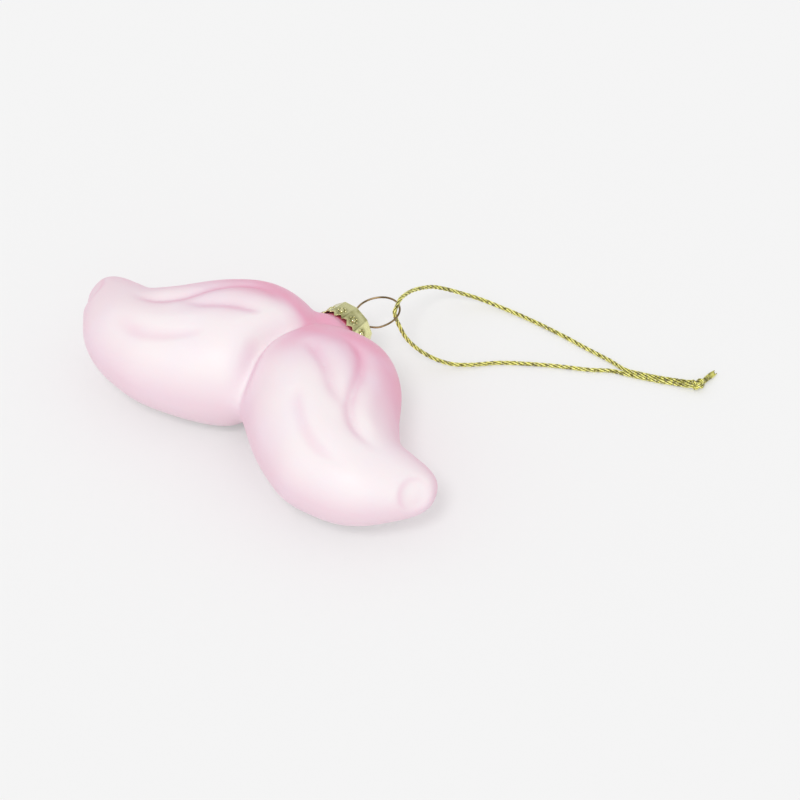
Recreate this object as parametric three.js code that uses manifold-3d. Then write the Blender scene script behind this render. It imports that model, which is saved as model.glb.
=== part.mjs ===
// A blown-glass bauble in the plain form of a moustache, lying on its back with its gold cord laid out.
// Millimetres, +Z up. X runs along the two lobes, +Y from the lobes to the cap, and Z = 0 is the table.
import * as THREE from 'three';
import { mergeVertices } from 'three/addons/utils/BufferGeometryUtils.js';
import Module from 'manifold-3d';

const wasm = await Module();
wasm.setup();

// Gap that neighbouring pieces keep
const clearance = 0.3;

// Glass lobes: each half is a limb that swells from the waist and curls up to its tip
const lobeLength = 49.4;
const glassWall = 1.2;
const waistRounding = 1.5;
const restFlatDepth = 0.36;
const sectionFullness = 2.1;

// The lobe's widest half width in Y, its thickest half thickness in Z, and how far its middle line hangs down
const lobeHalfWidth = 20.3;
const lobeHalfThick = 14.3;
const lobeHang = 10.4;

// Sections of one lobe, evenly stepped in angle from the waist to the tip, as shares of these three:
// the middle line's height towards the cap, the half width and the half thickness
const lobeSections = [
  { middle: 0.202, halfWidth: 0.685, halfThick: 0.811 },
  { middle: 0.067, halfWidth: 0.897, halfThick: 0.986 },
  { middle: -0.115, halfWidth: 1, halfThick: 1 },
  { middle: -0.433, halfWidth: 0.956, halfThick: 0.916 },
  { middle: -0.798, halfWidth: 0.749, halfThick: 0.804 },
  { middle: -1, halfWidth: 0.576, halfThick: 0.678 },
  { middle: -0.904, halfWidth: 0.493, halfThick: 0.545 },
  { middle: -0.721, halfWidth: 0.384, halfThick: 0.42 },
  { middle: -0.596, halfWidth: 0.261, halfThick: 0.308 },
  { middle: -0.577, halfWidth: 0.118, halfThick: 0.161 },
  { middle: -0.606, halfWidth: 0, halfThick: 0 },
];

// The left lobe is a little slimmer than the right one, and its tip hangs lower
const leftSlimness = 0.05;
const leftSlimFrom = 0.3;
const leftTipDrop = 1.2;

// Crease between the lobes: steep on the right lobe's side, and shallower towards the cap
const waistCrease = { depth: 3.2, leftWidth: 2.6, rightWidth: 1, topShare: 0.35 };

// The right lobe's shoulder swells over to the left, which bows the waist and its crease
const waistBow = { swell: 2.3, reach: 9, from: -13, middle: -2, to: 12 };

// Grooves pressed into each lobe, as plan points of the right lobe (the left one is its mirror image)
const backGrooveShare = 0.6;
const grooveSharpness = 2.2;
const shortGroove = {
  depth: 0.75,
  width: 2.3,
  ridge: 0.3,
  backShare: 0,
  points: [[5.5, 3.2], [10, 1.3], [14.5, -0.9], [19.5, -4.2], [25, -6]],
};
const longGroove = {
  depth: 1.15,
  width: 2.1,
  ridge: 0.4,
  backShare: backGrooveShare,
  points: [
    [5, 8.2], [12, 9.6], [16.5, 8], [20, 4], [22.5, -1], [25.2, -5.2], [29, -8], [33.5, -8.6], [37.5, -7.6],
  ],
};
const lowGroove = {
  depth: 0.6,
  width: 2,
  ridge: 0.25,
  backShare: backGrooveShare,
  points: [[12.5, -8.5], [17, -12.6], [22.5, -16], [28, -17.2], [35, -16.2]],
};
const grooves = [shortGroove, longGroove, lowGroove];
const tipDimple = { x: 45.7, y: -9.3, radius: 2.8, depth: 0.9 };

// Neck of the glass, which flares out where it grows from the lobes
const neckRadius = 4.9;
const neckWall = 1;
const neckAboveLobes = 3.3;
const neckTopY = lobeHalfWidth + neckAboveLobes;
const neckLip = 0.3;
const neckRootDepth = 14;
const neckRootY = neckTopY - neckRootDepth;
const flareBelowTop = 3.4;
const neckFlareLength = neckRootDepth - flareBelowTop;
const neckFlareGrowth = 2.6;

// The flare's outline, as shares of its length and of its growth
const neckFlare = [
  { along: 0, growth: 0.5 },
  { along: 0.55, growth: 1 },
  { along: 0.7, growth: 0.8 },
  { along: 0.79, growth: 0.43 },
  { along: 0.86, growth: 0.16 },
  { along: 1, growth: 0 },
];
const boreBottomY = 5;

// Cap: thin stamped sheet with a pointed skirt and round bosses
const capSheet = 0.35;
const capHeight = 5.4;
const capCorner = 0.6;
const skirtFlare = 0.6;
const petals = 10;
const pointsPerPetal = 2;
const pointDepth = 1.1;
const petalBulge = 0.16;
const bossRadius = 0.85;
const bossHeight = 0.4;
const bossDrop = 3.3;
const bossTurnDegrees = 5;
const fittingsTurnDegrees = 11.2;

// Hanger: one spring wire, with its loop above the cap and its legs sprung apart in the neck
const wireRadius = 0.25;
const loopRadius = 5.13;
const loopSeat = 0.85;
const loopLean = 1.45;
const loopSag = 0.3;
const loopTiltDegrees = 5.2;
const loopStartDegrees = 196;
const loopEndDegrees = -46;
const loopStepDegrees = 22;
const leftShoulder = { out: 0.05, rise: 1.7 };
const rightShoulder = { out: 0.75, rise: 0.85 };
const legSplay = 0.65;
const legFoot = 5;

// The wire can be drawn this far up through the cap, so its legs stay straight for longer than that
const drawTravel = 3;
const legStraight = drawTravel + 4;

// Cord: one length of metallic cord through the loop, both strands tied in one knot
const cordRadius = 0.475;
const knotSize = { length: 3.1, width: 2.9, height: 2.2 };
const tailWidth = 0.5;
const tailThick = 0.4;

// Routes of the two strands from the loop to the knot, each point as x, y and height above the table
const upperStrandRoute = [
  [5.08, 32.12, 15.52], [4.7, 33.3, 16.2], [4.1, 34.8, 16.35], [3.2, 37.25, 15.4], [2.2, 41, 13.6],
  [1.6, 45, 11.3], [1.5, 48.9, 8.9], [2.3, 52.1, 6.6], [3.9, 55.3, 4.2], [7, 58.5, 2.1],
  [11.3, 60.6, 0.95], [18.6, 62.3, 0.55], [26.5, 63.3, 0.5], [34.7, 63.9, 0.5], [40.4, 64.4, 0.5],
  [44.4, 65.1, 0.5], [47.6, 66.2, 0.5], [50.4, 67.4, 0.5], [54.2, 69.2, 0.6], [57.7, 70.8, 1],
];
const lowerStrandRoute = [
  [5.15, 31.95, 15.2], [5.6, 31.7, 14.5], [6.3, 31.45, 13.9], [7.25, 31.4, 12.5], [8.6, 31.9, 9.9],
  [10.1, 33.2, 7.2], [11.6, 35, 4.7], [14, 37.4, 2.4], [16.1, 39.6, 1.2], [18.7, 42.5, 0.7],
  [22.8, 47.4, 0.5], [27.9, 51.6, 0.5], [33.3, 55.5, 0.5], [38.8, 59.1, 0.5], [43, 61.6, 0.5],
  [46.2, 63.2, 0.5], [49, 64.6, 0.5], [52.8, 66.6, 0.5], [56, 68.5, 0.6], [58.5, 69.7, 0.95],
];
const knotPlace = { x: 59.75, y: 71.3, z: 1.15, headingDegrees: 30 };
const longTailRoute = [[59.7, 73.15, 1], [59.45, 74.8, 0.85], [59.45, 76.4, 0.7], [59.6, 77.9, 0.55]];
const shortTailRoute = [[60.6, 73, 0.95], [60.4, 74.6, 0.8], [60.4, 76, 0.65], [60.42, 77.2, 0.55]];

// How finely round things are drawn
const lobeRings = 26;
const ringsNearWaist = 1.6;
const frontSteps = 24;
const backSteps = 12;
const neckSides = 32;
const sidesPerPoint = 4;
const bossSides = 8;
const holeSides = 12;
const wireSteps = 72;
const tubeSides = 8;
const upperStrandSteps = 44;
const lowerStrandSteps = 36;
const knotSides = { around: 12, down: 8 };
const tailSteps = 5;

// Turns a geometry into a closed solid whose faces point out
function solidOf(geometry) {
  const bare = geometry.clone();
  bare.deleteAttribute('normal');
  bare.deleteAttribute('uv');
  const merged = mergeVertices(bare, 1e-4);
  const position = merged.attributes.position.array;
  const index = Array.from(merged.index.array);
  const corners = [];
  let volume = 0;
  for (let i = 0; i < index.length; i += 3) {
    const [a, b, c] = [index[i], index[i + 1], index[i + 2]];
    if (a === b || b === c || c === a) continue;
    corners.push(a, b, c);
    const p = new THREE.Vector3().fromArray(position, a * 3);
    const q = new THREE.Vector3().fromArray(position, b * 3);
    const r = new THREE.Vector3().fromArray(position, c * 3);
    volume += p.dot(q.cross(r));
  }
  if (volume < 0) corners.reverse();
  const mesh = new wasm.Mesh({
    numProp: 3,
    vertProperties: new Float32Array(position),
    triVerts: new Uint32Array(corners),
  });
  return new wasm.Manifold(mesh);
}

// Turns a solid back into a geometry
function geometryOf(solid) {
  const mesh = solid.getMesh();
  const geometry = new THREE.BufferGeometry();
  geometry.setAttribute('position', new THREE.BufferAttribute(mesh.vertProperties, 3));
  geometry.setIndex(new THREE.BufferAttribute(mesh.triVerts, 1));
  return geometry;
}

// Reads a smooth curve through evenly spaced values, with one more value past each end
function smoothValue(values, before, after, t) {
  const padded = [before, ...values, after];
  const place = THREE.MathUtils.clamp(t, 0, 1) * (values.length - 1);
  const step = Math.min(Math.floor(place), values.length - 2);
  const f = place - step;
  const [a, b, c, d] = padded.slice(step, step + 4);
  return b + 0.5 * f * (c - a + f * (2 * a - 5 * b + 4 * c - d + f * (3 * (b - c) + d - a)));
}

// One value of the lobe's sections at a share t of the way from the waist to the tip, in units of its size
function lobeValue(key, size, t, oddAtTip) {
  const values = lobeSections.map((section) => section[key]);
  const before = 2 * values[0] - values[1];
  const last = values[values.length - 2];
  return size * smoothValue(values, before, oddAtTip ? -last : last, t);
}

const groovePaths = grooves.map((groove) => {
  const corners = groove.points.map(([x, y]) => new THREE.Vector2(x, y));
  return new THREE.SplineCurve(corners).getPoints(corners.length * 6);
});

// Distance from a plan point to a path, signed by its side, and how far along the path it is, 0 to 1
function measurePath(path, x, y) {
  let best = { distance: Infinity, along: 0 };
  for (let i = 0; i + 1 < path.length; i += 1) {
    const [p, q] = [path[i], path[i + 1]];
    const [dx, dy] = [q.x - p.x, q.y - p.y];
    const f = THREE.MathUtils.clamp(((x - p.x) * dx + (y - p.y) * dy) / (dx * dx + dy * dy), 0, 1);
    const distance = Math.hypot(x - p.x - f * dx, y - p.y - f * dy);
    if (distance < Math.abs(best.distance)) {
      const side = Math.sign(dx * (y - p.y) - dy * (x - p.x)) || 1;
      best = { distance: distance * side, along: (i + f) / (path.length - 1) };
    }
  }
  return best;
}

// How far a plan point near the waist is carried to the left by the right lobe's swelling
function bowedAside(x, y) {
  const { swell, reach, from, middle, to } = waistBow;
  const share = THREE.MathUtils.smoothstep(y, from, middle) * (1 - THREE.MathUtils.smoothstep(y, middle, to));
  return swell * share * Math.exp(-((x / reach) ** 2));
}

// How far the crease between the lobes presses the glass in; a skin under the outer face has a wider crease
function creaseDepth(x, y, inset) {
  const { depth, leftWidth, rightWidth, topShare } = waistCrease;
  const fade = 1 - (1 - topShare) * THREE.MathUtils.smoothstep(y, waistBow.middle, waistBow.to);
  const width = (x < 0 ? leftWidth : rightWidth) + inset;
  return depth * fade * Math.exp(-((x / width) ** 2));
}

// How far the grooves and the dimple press the glass in at a plan point of the front or the back
function pressedDepth(x, y, isBack) {
  let depth = 0;
  grooves.forEach((groove, i) => {
    const { distance, along } = measurePath(groovePaths[i], Math.abs(x), y);
    const fade = THREE.MathUtils.smoothstep(along, 0, 0.25) * (1 - THREE.MathUtils.smoothstep(along, 0.7, 1));
    const share = isBack ? groove.backShare : 1;
    const spread = (distance / groove.width) ** 2;
    const valley = 0.5 * groove.depth * (Math.exp(-spread) + Math.exp(-spread * grooveSharpness ** 2));
    const crest = groove.ridge * Math.exp(-(((distance - 2 * groove.width) / groove.width) ** 2));
    depth += share * fade * (valley - crest);
  });
  const toDimple = Math.hypot(Math.abs(x) - tipDimple.x, y - tipDimple.y) / tipDimple.radius;
  return depth + tipDimple.depth * Math.exp(-(toDimple ** 4));
}

// One point of a lobe's skin, a given depth under the glass's outer face
function lobePoint(t, angle, inset) {
  const length = lobeLength - inset;
  const x = length * Math.sin((t * Math.PI) / 2);
  const reach = Math.hypot(x, waistRounding * Math.sqrt(1 - (x / length) ** 2));
  const share = (2 / Math.PI) * Math.asin(Math.min(reach / length, 1));
  const shrink = inset * Math.min(1, (1 - share) * 6);
  const halfWidth = Math.max(lobeValue('halfWidth', lobeHalfWidth, share, true) - shrink, 0);
  const halfThick = Math.max(lobeValue('halfThick', lobeHalfThick, share, true) - shrink, 0);
  const bend = (value) => Math.sign(value) * Math.abs(value) ** (2 / sectionFullness);
  const left = THREE.MathUtils.smoothstep(-t, 0, leftSlimFrom);
  const middle = lobeValue('middle', lobeHang, share, false) - left * leftTipDrop * share ** 2;
  const y = middle + (1 - left * leftSlimness) * halfWidth * bend(Math.cos(angle));
  const z = halfThick * bend(Math.sin(angle));
  const facing = Math.sqrt(Math.abs(Math.sin(angle)));
  const crease = (z < 0 ? backGrooveShare : 1) * creaseDepth(x, y, inset);
  const pressed = facing * (pressedDepth(x, y, z < 0) + crease);
  return new THREE.Vector3(x - bowedAside(x, y), y, Math.sign(z) * Math.max(Math.abs(z) - pressed, 0));
}

// The closed skin of both lobes, inset by a depth under the glass's outer face
function lobeSkin(inset) {
  const angles = [];
  for (let i = 0; i < frontSteps; i += 1) angles.push((Math.PI * i) / frontSteps);
  for (let i = 0; i < backSteps; i += 1) angles.push(Math.PI + (Math.PI * i) / backSteps);
  const points = [lobePoint(-1, 0, inset)];
  for (let ring = 1 - lobeRings; ring < lobeRings; ring += 1) {
    const t = Math.sign(ring) * Math.abs(ring / lobeRings) ** ringsNearWaist;
    angles.forEach((angle) => points.push(lobePoint(t, angle, inset)));
  }
  points.push(lobePoint(1, 0, inset));
  const around = angles.length;
  const rings = 2 * lobeRings - 1;
  const index = [];
  const at = (ring, i) => 1 + ring * around + (i % around);
  for (let i = 0; i < around; i += 1) {
    index.push(0, at(0, i + 1), at(0, i));
    index.push(points.length - 1, at(rings - 1, i), at(rings - 1, i + 1));
    for (let ring = 0; ring + 1 < rings; ring += 1) {
      index.push(at(ring, i), at(ring, i + 1), at(ring + 1, i + 1));
      index.push(at(ring, i), at(ring + 1, i + 1), at(ring + 1, i));
    }
  }
  const geometry = new THREE.BufferGeometry().setFromPoints(points);
  geometry.setIndex(index);
  return geometry;
}

// A tube of a flat section along a route
function tubeAlong(curve, section, steps) {
  return new THREE.ExtrudeGeometry(section, { extrudePath: curve, steps, bevelEnabled: false });
}

// A round or flattened section with a given number of sides
function ovalSection(halfWidth, halfThick, sides) {
  const corners = [];
  for (let i = 0; i < sides; i += 1) {
    const angle = (2 * Math.PI * (i + 0.5)) / sides;
    corners.push(new THREE.Vector2(halfWidth * Math.cos(angle), halfThick * Math.sin(angle)));
  }
  return new THREE.Shape(corners);
}

// A smooth route through points chosen by hand
function routeThrough(points) {
  return new THREE.CatmullRomCurve3(points.map(([x, y, z]) => new THREE.Vector3(x, y, z)));
}

function pieceOf(name, geometry, material) {
  const mesh = new THREE.Mesh(geometry, new THREE.MeshStandardMaterial(material));
  mesh.name = name;
  return mesh;
}

// Glass: the outer skin and neck, hollowed out and flattened where it rests on the table
function makeGlass() {
  const flare = neckFlare.map(({ along, growth }) => (
    new THREE.Vector2(neckRadius + growth * neckFlareGrowth, neckRootY + along * neckFlareLength)
  ));
  const neck = new THREE.LatheGeometry([
    new THREE.Vector2(0, neckRootY),
    ...flare,
    new THREE.Vector2(neckRadius, neckTopY - neckLip),
    new THREE.Vector2(neckRadius - neckLip, neckTopY),
    new THREE.Vector2(0, neckTopY),
  ], neckSides);
  const boreRadius = neckRadius - neckWall;
  const bore = new THREE.CylinderGeometry(boreRadius, boreRadius, neckTopY, neckSides);
  bore.translate(0, neckTopY / 2 + boreBottomY, 0);
  const outer = lobeSkin(0);
  outer.computeBoundingBox();
  const restPlane = outer.boundingBox.min.z + restFlatDepth;
  const table = new THREE.BoxGeometry(4 * lobeLength, 4 * lobeLength, lobeLength);
  table.translate(0, 0, restPlane - lobeLength / 2);
  const solid = solidOf(outer)
    .add(solidOf(neck))
    .subtract(solidOf(lobeSkin(glassWall)))
    .subtract(solidOf(bore))
    .subtract(solidOf(table));
  const glass = pieceOf('glass_body', geometryOf(solid), { color: 0xf3d3e0, roughness: 0.3, metalness: 0.1 });
  return { glass, middleHeight: -restPlane };
}

// Cap: a turned sheet whose skirt is drawn into points, with bosses and two holes for the wire
function makeCap(legX) {
  const topY = neckTopY + clearance + capSheet;
  const wallRadius = neckRadius + clearance + capSheet;
  const skirtY = topY - capHeight;
  const outline = [
    [0, topY],
    [wallRadius - capCorner, topY],
    [wallRadius, topY - capCorner],
    [wallRadius + 0.35 * skirtFlare, topY - 0.55 * capHeight],
    [wallRadius + skirtFlare, skirtY],
  ];
  const inner = outline.map(([r, y], i) => [i > 1 ? r - capSheet : r, i < 3 ? y - capSheet : y]).reverse();
  const turned = [...outline, ...inner].map(([r, y]) => new THREE.Vector2(r, y));
  const sheet = new THREE.LatheGeometry(turned, petals * pointsPerPetal * sidesPerPoint);
  const position = sheet.attributes.position;
  for (let i = 0; i < position.count; i += 1) {
    const [x, y, z] = [position.getX(i), position.getY(i), position.getZ(i)];
    const radius = Math.hypot(x, z);
    const drop = THREE.MathUtils.clamp((topY - capCorner - y) / (capHeight - capCorner), 0, 1);
    if (drop > 0 && radius > neckRadius) {
      const angle = Math.atan2(x, z);
      const bulge = petalBulge * drop * Math.cos(petals * angle);
      const lift = pointDepth * drop ** 2 * (0.5 - 0.5 * Math.cos(petals * pointsPerPetal * angle));
      const grown = (radius + bulge) / radius;
      position.setXYZ(i, x * grown, y + lift, z * grown);
    }
  }
  let solid = solidOf(sheet);
  const bossWall = wallRadius + 0.4 * skirtFlare + 0.5 * petalBulge;
  for (let i = 0; i < petals; i += 1) {
    const boss = new THREE.LatheGeometry([
      new THREE.Vector2(0, -capSheet / 2),
      new THREE.Vector2(bossRadius, -capSheet / 2),
      new THREE.Vector2(0.75 * bossRadius, 0.6 * bossHeight),
      new THREE.Vector2(0, bossHeight),
    ], bossSides);
    boss.rotateX(Math.PI / 2);
    boss.translate(0, topY - bossDrop, bossWall);
    boss.rotateY((2 * Math.PI * i) / petals);
    solid = solid.add(solidOf(boss));
  }
  solid = solid.rotate([0, bossTurnDegrees, 0]);
  const holeRadius = wireRadius + clearance;
  [-legX, legX].forEach((x) => {
    const hole = new THREE.CylinderGeometry(holeRadius, holeRadius, 4 * capSheet, holeSides);
    hole.translate(x, topY - capSheet / 2, 0);
    solid = solid.subtract(solidOf(hole));
  });
  return pieceOf('crown_cap', geometryOf(solid), { color: 0xcfc48c, roughness: 0.3, metalness: 1 });
}

// Hanger: the wire's left foot, up through the cap, round the loop and down to its right foot
function makeHanger(legX) {
  const capTopY = neckTopY + clearance + capSheet;
  const centre = new THREE.Vector3(loopLean, capTopY + loopSeat + loopRadius, -loopSag);
  const tilt = THREE.MathUtils.degToRad(loopTiltDegrees);
  const leg = (side) => [
    [side * (legX + legSplay), capTopY - legStraight - legFoot, 0],
    [side * (legX + 0.6 * legSplay), capTopY - legStraight - 0.55 * legFoot, 0],
    [side * legX, capTopY - legStraight, 0],
    [side * legX, capTopY - 0.5 * legStraight, 0],
    [side * legX, capTopY, 0],
  ];
  const shoulder = (x, rise) => [x, capTopY + rise, -0.5 * loopSag];
  const points = [...leg(-1), shoulder(-legX - leftShoulder.out, leftShoulder.rise)];
  for (let degrees = loopStartDegrees; degrees >= loopEndDegrees; degrees -= loopStepDegrees) {
    const angle = THREE.MathUtils.degToRad(degrees);
    const rise = loopRadius * Math.sin(angle);
    points.push([
      centre.x + loopRadius * Math.cos(angle),
      centre.y + rise * Math.cos(tilt),
      centre.z + rise * Math.sin(tilt),
    ]);
  }
  points.push(shoulder(legX + rightShoulder.out, rightShoulder.rise), ...leg(1).reverse());
  const geometry = tubeAlong(routeThrough(points), ovalSection(wireRadius, wireRadius, tubeSides), wireSteps);
  return pieceOf('hanger_wire', geometry, { color: 0x8c6f4e, roughness: 0.35, metalness: 1 });
}

// Cord: its two strands, the knot that ties them and the two cut ends past it
function makeCord() {
  const gold = { color: 0xcdb83c, roughness: 0.4, metalness: 0.8 };
  const round = ovalSection(cordRadius, cordRadius, tubeSides);
  const flat = ovalSection(tailThick / 2, tailWidth / 2, tubeSides);
  const knot = new THREE.SphereGeometry(0.5, knotSides.around, knotSides.down);
  knot.scale(knotSize.length, knotSize.width, knotSize.height);
  const knotPiece = pieceOf('cord_knot', knot, gold);
  knotPiece.rotation.z = THREE.MathUtils.degToRad(knotPlace.headingDegrees);
  knotPiece.position.set(knotPlace.x, knotPlace.y, knotPlace.z);
  return [
    pieceOf('cord_strand_upper', tubeAlong(routeThrough(upperStrandRoute), round, upperStrandSteps), gold),
    pieceOf('cord_strand_lower', tubeAlong(routeThrough(lowerStrandRoute), round, lowerStrandSteps), gold),
    knotPiece,
    pieceOf('cord_tail_long', tubeAlong(routeThrough(longTailRoute), flat, tailSteps), gold),
    pieceOf('cord_tail_short', tubeAlong(routeThrough(shortTailRoute), flat, tailSteps), gold),
  ];
}

const legX = neckRadius - neckWall - clearance - wireRadius - legSplay;
const { glass, middleHeight } = makeGlass();
const fittings = new THREE.Group();
fittings.add(makeCap(legX), makeHanger(legX));
fittings.rotation.y = -THREE.MathUtils.degToRad(fittingsTurnDegrees);

const ornament = new THREE.Group();
ornament.add(glass, fittings);
ornament.position.z = middleHeight;

const bauble = new THREE.Group();
bauble.add(ornament, ...makeCord());

// The origin goes to the middle of the glass, cap and hanger, seen from above
const box = new THREE.Box3().setFromObject(ornament, true);
bauble.position.y = -(box.min.y + box.max.y) / 2;

export default bauble;
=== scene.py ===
"""Looks of a blown-glass bauble with a stamped cap, a wire loop and a knotted gold cord.

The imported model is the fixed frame. Each class is one sub-assembly of the bauble and holds its
sizes in millimetres. Glass, cap and wire are worked out in the glass's own frame, whose Y axis
runs through the neck, and are then moved to their place in the model.
"""

import logging
import math
from dataclasses import dataclass
from enum import Enum
from typing import Any, Sequence

import bpy
import numpy as np
from bpy.types import Material, Mesh, Node, NodeSocket, NodeTree, Object
from mathutils import Matrix, Vector


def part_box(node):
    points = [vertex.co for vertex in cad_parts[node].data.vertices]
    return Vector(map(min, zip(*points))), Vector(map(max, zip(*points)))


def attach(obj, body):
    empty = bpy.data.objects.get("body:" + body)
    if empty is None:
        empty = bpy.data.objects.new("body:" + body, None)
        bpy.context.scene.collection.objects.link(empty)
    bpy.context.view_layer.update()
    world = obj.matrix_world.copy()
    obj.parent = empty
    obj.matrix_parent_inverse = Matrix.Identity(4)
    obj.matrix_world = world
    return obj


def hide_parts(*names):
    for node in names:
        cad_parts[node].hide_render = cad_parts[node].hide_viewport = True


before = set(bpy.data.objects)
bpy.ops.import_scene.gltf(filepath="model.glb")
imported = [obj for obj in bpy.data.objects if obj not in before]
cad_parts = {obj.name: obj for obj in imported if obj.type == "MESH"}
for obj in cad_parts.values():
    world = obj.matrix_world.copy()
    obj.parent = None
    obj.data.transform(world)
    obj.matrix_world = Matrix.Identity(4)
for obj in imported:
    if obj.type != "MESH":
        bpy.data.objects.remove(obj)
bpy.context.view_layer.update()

log = logging.getLogger("bauble")
MM = 0.001
Colour = tuple[float, float, float]
Point = tuple[float, float, float]
Pair = tuple[float, float]
Faces = list[tuple[int, ...]]


class Strand(Enum):
    """The two free strands of the cord, by the side of the wire loop that they leave."""

    UPPER = "cord_strand_upper"
    LOWER = "cord_strand_lower"


class Tail(Enum):
    """The two cut ends of the cord past its knot."""

    LONG = "cord_tail_long"
    SHORT = "cord_tail_short"


# Curves and number work

BLENDS = (((0, 1), (1, 2), (2, 3)), ((0, 2), (1, 3)), ((1, 2),))


def smoothstep(value: np.ndarray, low: float, high: float) -> np.ndarray:
    """Eases from 0 at low to 1 at high."""
    t = np.clip((value - low) / (high - low), 0.0, 1.0)
    return t * t * (3.0 - 2.0 * t)


def band(value: np.ndarray, low: float, full: float, until: float, high: float) -> np.ndarray:
    """Eases up to 1 between low and full, and down again between until and high."""
    return smoothstep(value, low, full) * (1.0 - smoothstep(value, until, high))


def bell(value: np.ndarray, middle: float, width: float) -> np.ndarray:
    """A smooth bump of height 1 at middle."""
    return np.exp(-(((value - middle) / width) ** 2))


def spline(a: Any, b: Any, c: Any, d: Any, f: Any) -> Any:
    """The smooth curve at share f of its span from b to c, with a before them and d past them."""
    return b + 0.5 * f * (c - a + f * (2 * a - 5 * b + 4 * c - d + f * (3 * (b - c) + d - a)))


def read_sections(values: Sequence[float], at_tip: float, share: np.ndarray) -> np.ndarray:
    """Reads a smooth curve through evenly spaced values, which runs straight on before the first.

    Args:
        values: The values, from share 0 to share 1.
        at_tip: One more value past the last.
        share: Where to read, 0 to 1.

    Returns:
        The curve's value at each share.
    """
    padded = np.array([2 * values[0] - values[1], *values, at_tip])
    place = np.clip(share, 0.0, 1.0) * (len(values) - 1)
    step = np.minimum(np.floor(place).astype(int), len(values) - 2)
    return spline(*(padded[step + k] for k in range(4)), place - step)


def plan_curve(points: Sequence[Pair], steps: int) -> np.ndarray:
    """Draws a smooth plan curve through evenly timed points.

    Args:
        points: The points of the curve.
        steps: Steps in each span.

    Returns:
        The drawn points, one row each.
    """
    corners = np.array(points)
    padded = np.vstack([corners[:1], corners, corners[-1:]])
    spans = (padded[i : i + 4] for i in range(len(corners) - 1))
    drawn = [spline(*span, f) for span in spans for f in np.arange(steps) / steps]
    return np.array([*drawn, corners[-1]])


def route_through(points: Sequence[Point], steps: int) -> np.ndarray:
    """Draws the centripetal curve through points in space, the same that the model's tubes follow.

    Args:
        points: The points of the route.
        steps: Steps in each span.

    Returns:
        The drawn points, one row each.
    """
    corners = np.array(points)
    padded = np.vstack([2 * corners[0] - corners[1], corners, 2 * corners[-1] - corners[-2]])
    drawn = []
    for i in range(len(corners) - 1):
        span = padded[i : i + 4]
        knots = np.cumsum([0.0, *(np.linalg.norm(q - p) ** 0.5 for p, q in zip(span, span[1:]))])
        for t in knots[1] + (knots[2] - knots[1]) * np.arange(steps) / steps:
            rows = list(span)
            for blend in BLENDS:
                shares = [(t - knots[low]) / (knots[high] - knots[low]) for low, high in blend]
                rows = [p + (q - p) * share for p, q, share in zip(rows, rows[1:], shares)]
            drawn.append(rows[0])
    return np.array([*drawn, corners[-1]])


def path_distance(path: np.ndarray, x: np.ndarray, y: np.ndarray) -> tuple[np.ndarray, np.ndarray]:
    """Measures plan points against a path.

    Args:
        path: The path's points.
        x: The plan points' x.
        y: The plan points' y.

    Returns:
        Each point's distance, signed by its side of the path, and its share of the way along.
    """
    best = np.full(x.shape, np.inf)
    along = np.zeros(x.shape)
    for i, (p, q) in enumerate(zip(path, path[1:])):
        step = q - p
        f = np.clip(((x - p[0]) * step[0] + (y - p[1]) * step[1]) / (step @ step), 0.0, 1.0)
        away = np.hypot(x - p[0] - f * step[0], y - p[1] - f * step[1])
        side = np.where(step[0] * (y - p[1]) - step[1] * (x - p[0]) < 0, -1.0, 1.0)
        nearer = away < np.abs(best)
        best = np.where(nearer, away * side, best)
        along = np.where(nearer, (i + f) / (len(path) - 1), along)
    return best, along


def ring(radius: Any, height: Any, sides: int, x: float = 0.0) -> np.ndarray:
    """Places one ring of points round the Y axis, or round an axis at x beside it."""
    turn = np.linspace(0, 2 * np.pi, sides, endpoint=False)
    return np.stack([x + radius * np.sin(turn), height + 0 * turn, radius * np.cos(turn)], axis=1)


def turned(points: np.ndarray, degrees: float) -> np.ndarray:
    """Turns rows round the Y axis.

    Args:
        points: The rows.
        degrees: How far.

    Returns:
        The turned rows.
    """
    x, y, z = points.T
    c, s = math.cos(math.radians(degrees)), math.sin(math.radians(degrees))
    return np.stack([x * c + z * s, y, z * c - x * s], axis=1)


# Mesh helpers


def ring_faces(rings: int, around: int, poles: int) -> Faces:
    """Joins rings of points, numbered one ring after another, into a skin.

    Args:
        rings: How many rings there are.
        around: Points in each ring.
        poles: How many poles follow the rings: the first closes the first ring, the second the last.

    Returns:
        Corner numbers of each face.
    """
    faces: Faces = []
    first = rings * around
    for i in range(around):
        j = (i + 1) % around
        closing = [(first, j, i), (first + 1, first - around + i, first - around + j)]
        faces.extend(closing[:poles])
        faces.extend(
            (low + i, low + j, low + around + j, low + around + i) for low in range(0, first - around, around)
        )
    return faces


def new_object(name: str, points: np.ndarray, faces: Faces, edges: Faces | None = None) -> Object:
    """Makes a mesh object whose place is in its mesh.

    Args:
        name: The object's name.
        points: Corners in metres.
        faces: Corner numbers of each face.
        edges: Corner numbers of each loose edge.

    Returns:
        The object, linked to the scene.
    """
    mesh = bpy.data.meshes.new(name)
    mesh.from_pydata([tuple(p) for p in points], edges or [], faces)
    mesh.update()
    made = bpy.data.objects.new(name, mesh)
    bpy.context.scene.collection.objects.link(made)
    return made


def new_polyline(name: str, route: np.ndarray) -> Object:
    """Makes a mesh of edges along a route in metres, for a node tree to sweep."""
    return new_object(name, route, [], [(i, i + 1) for i in range(len(route) - 1)])


def settle(made: Object) -> Object:
    """Turns an object's modifiers into its plain mesh.

    Args:
        made: The object, changed in place.

    Returns:
        The same object, without modifiers.
    """
    bpy.context.view_layer.update()
    graph = bpy.context.evaluated_depsgraph_get()
    mesh = bpy.data.meshes.new_from_object(made.evaluated_get(graph), depsgraph=graph)
    old = made.data
    made.modifiers.clear()
    made.data = mesh
    bpy.data.meshes.remove(old)
    mesh.name = made.name
    return made


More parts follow.
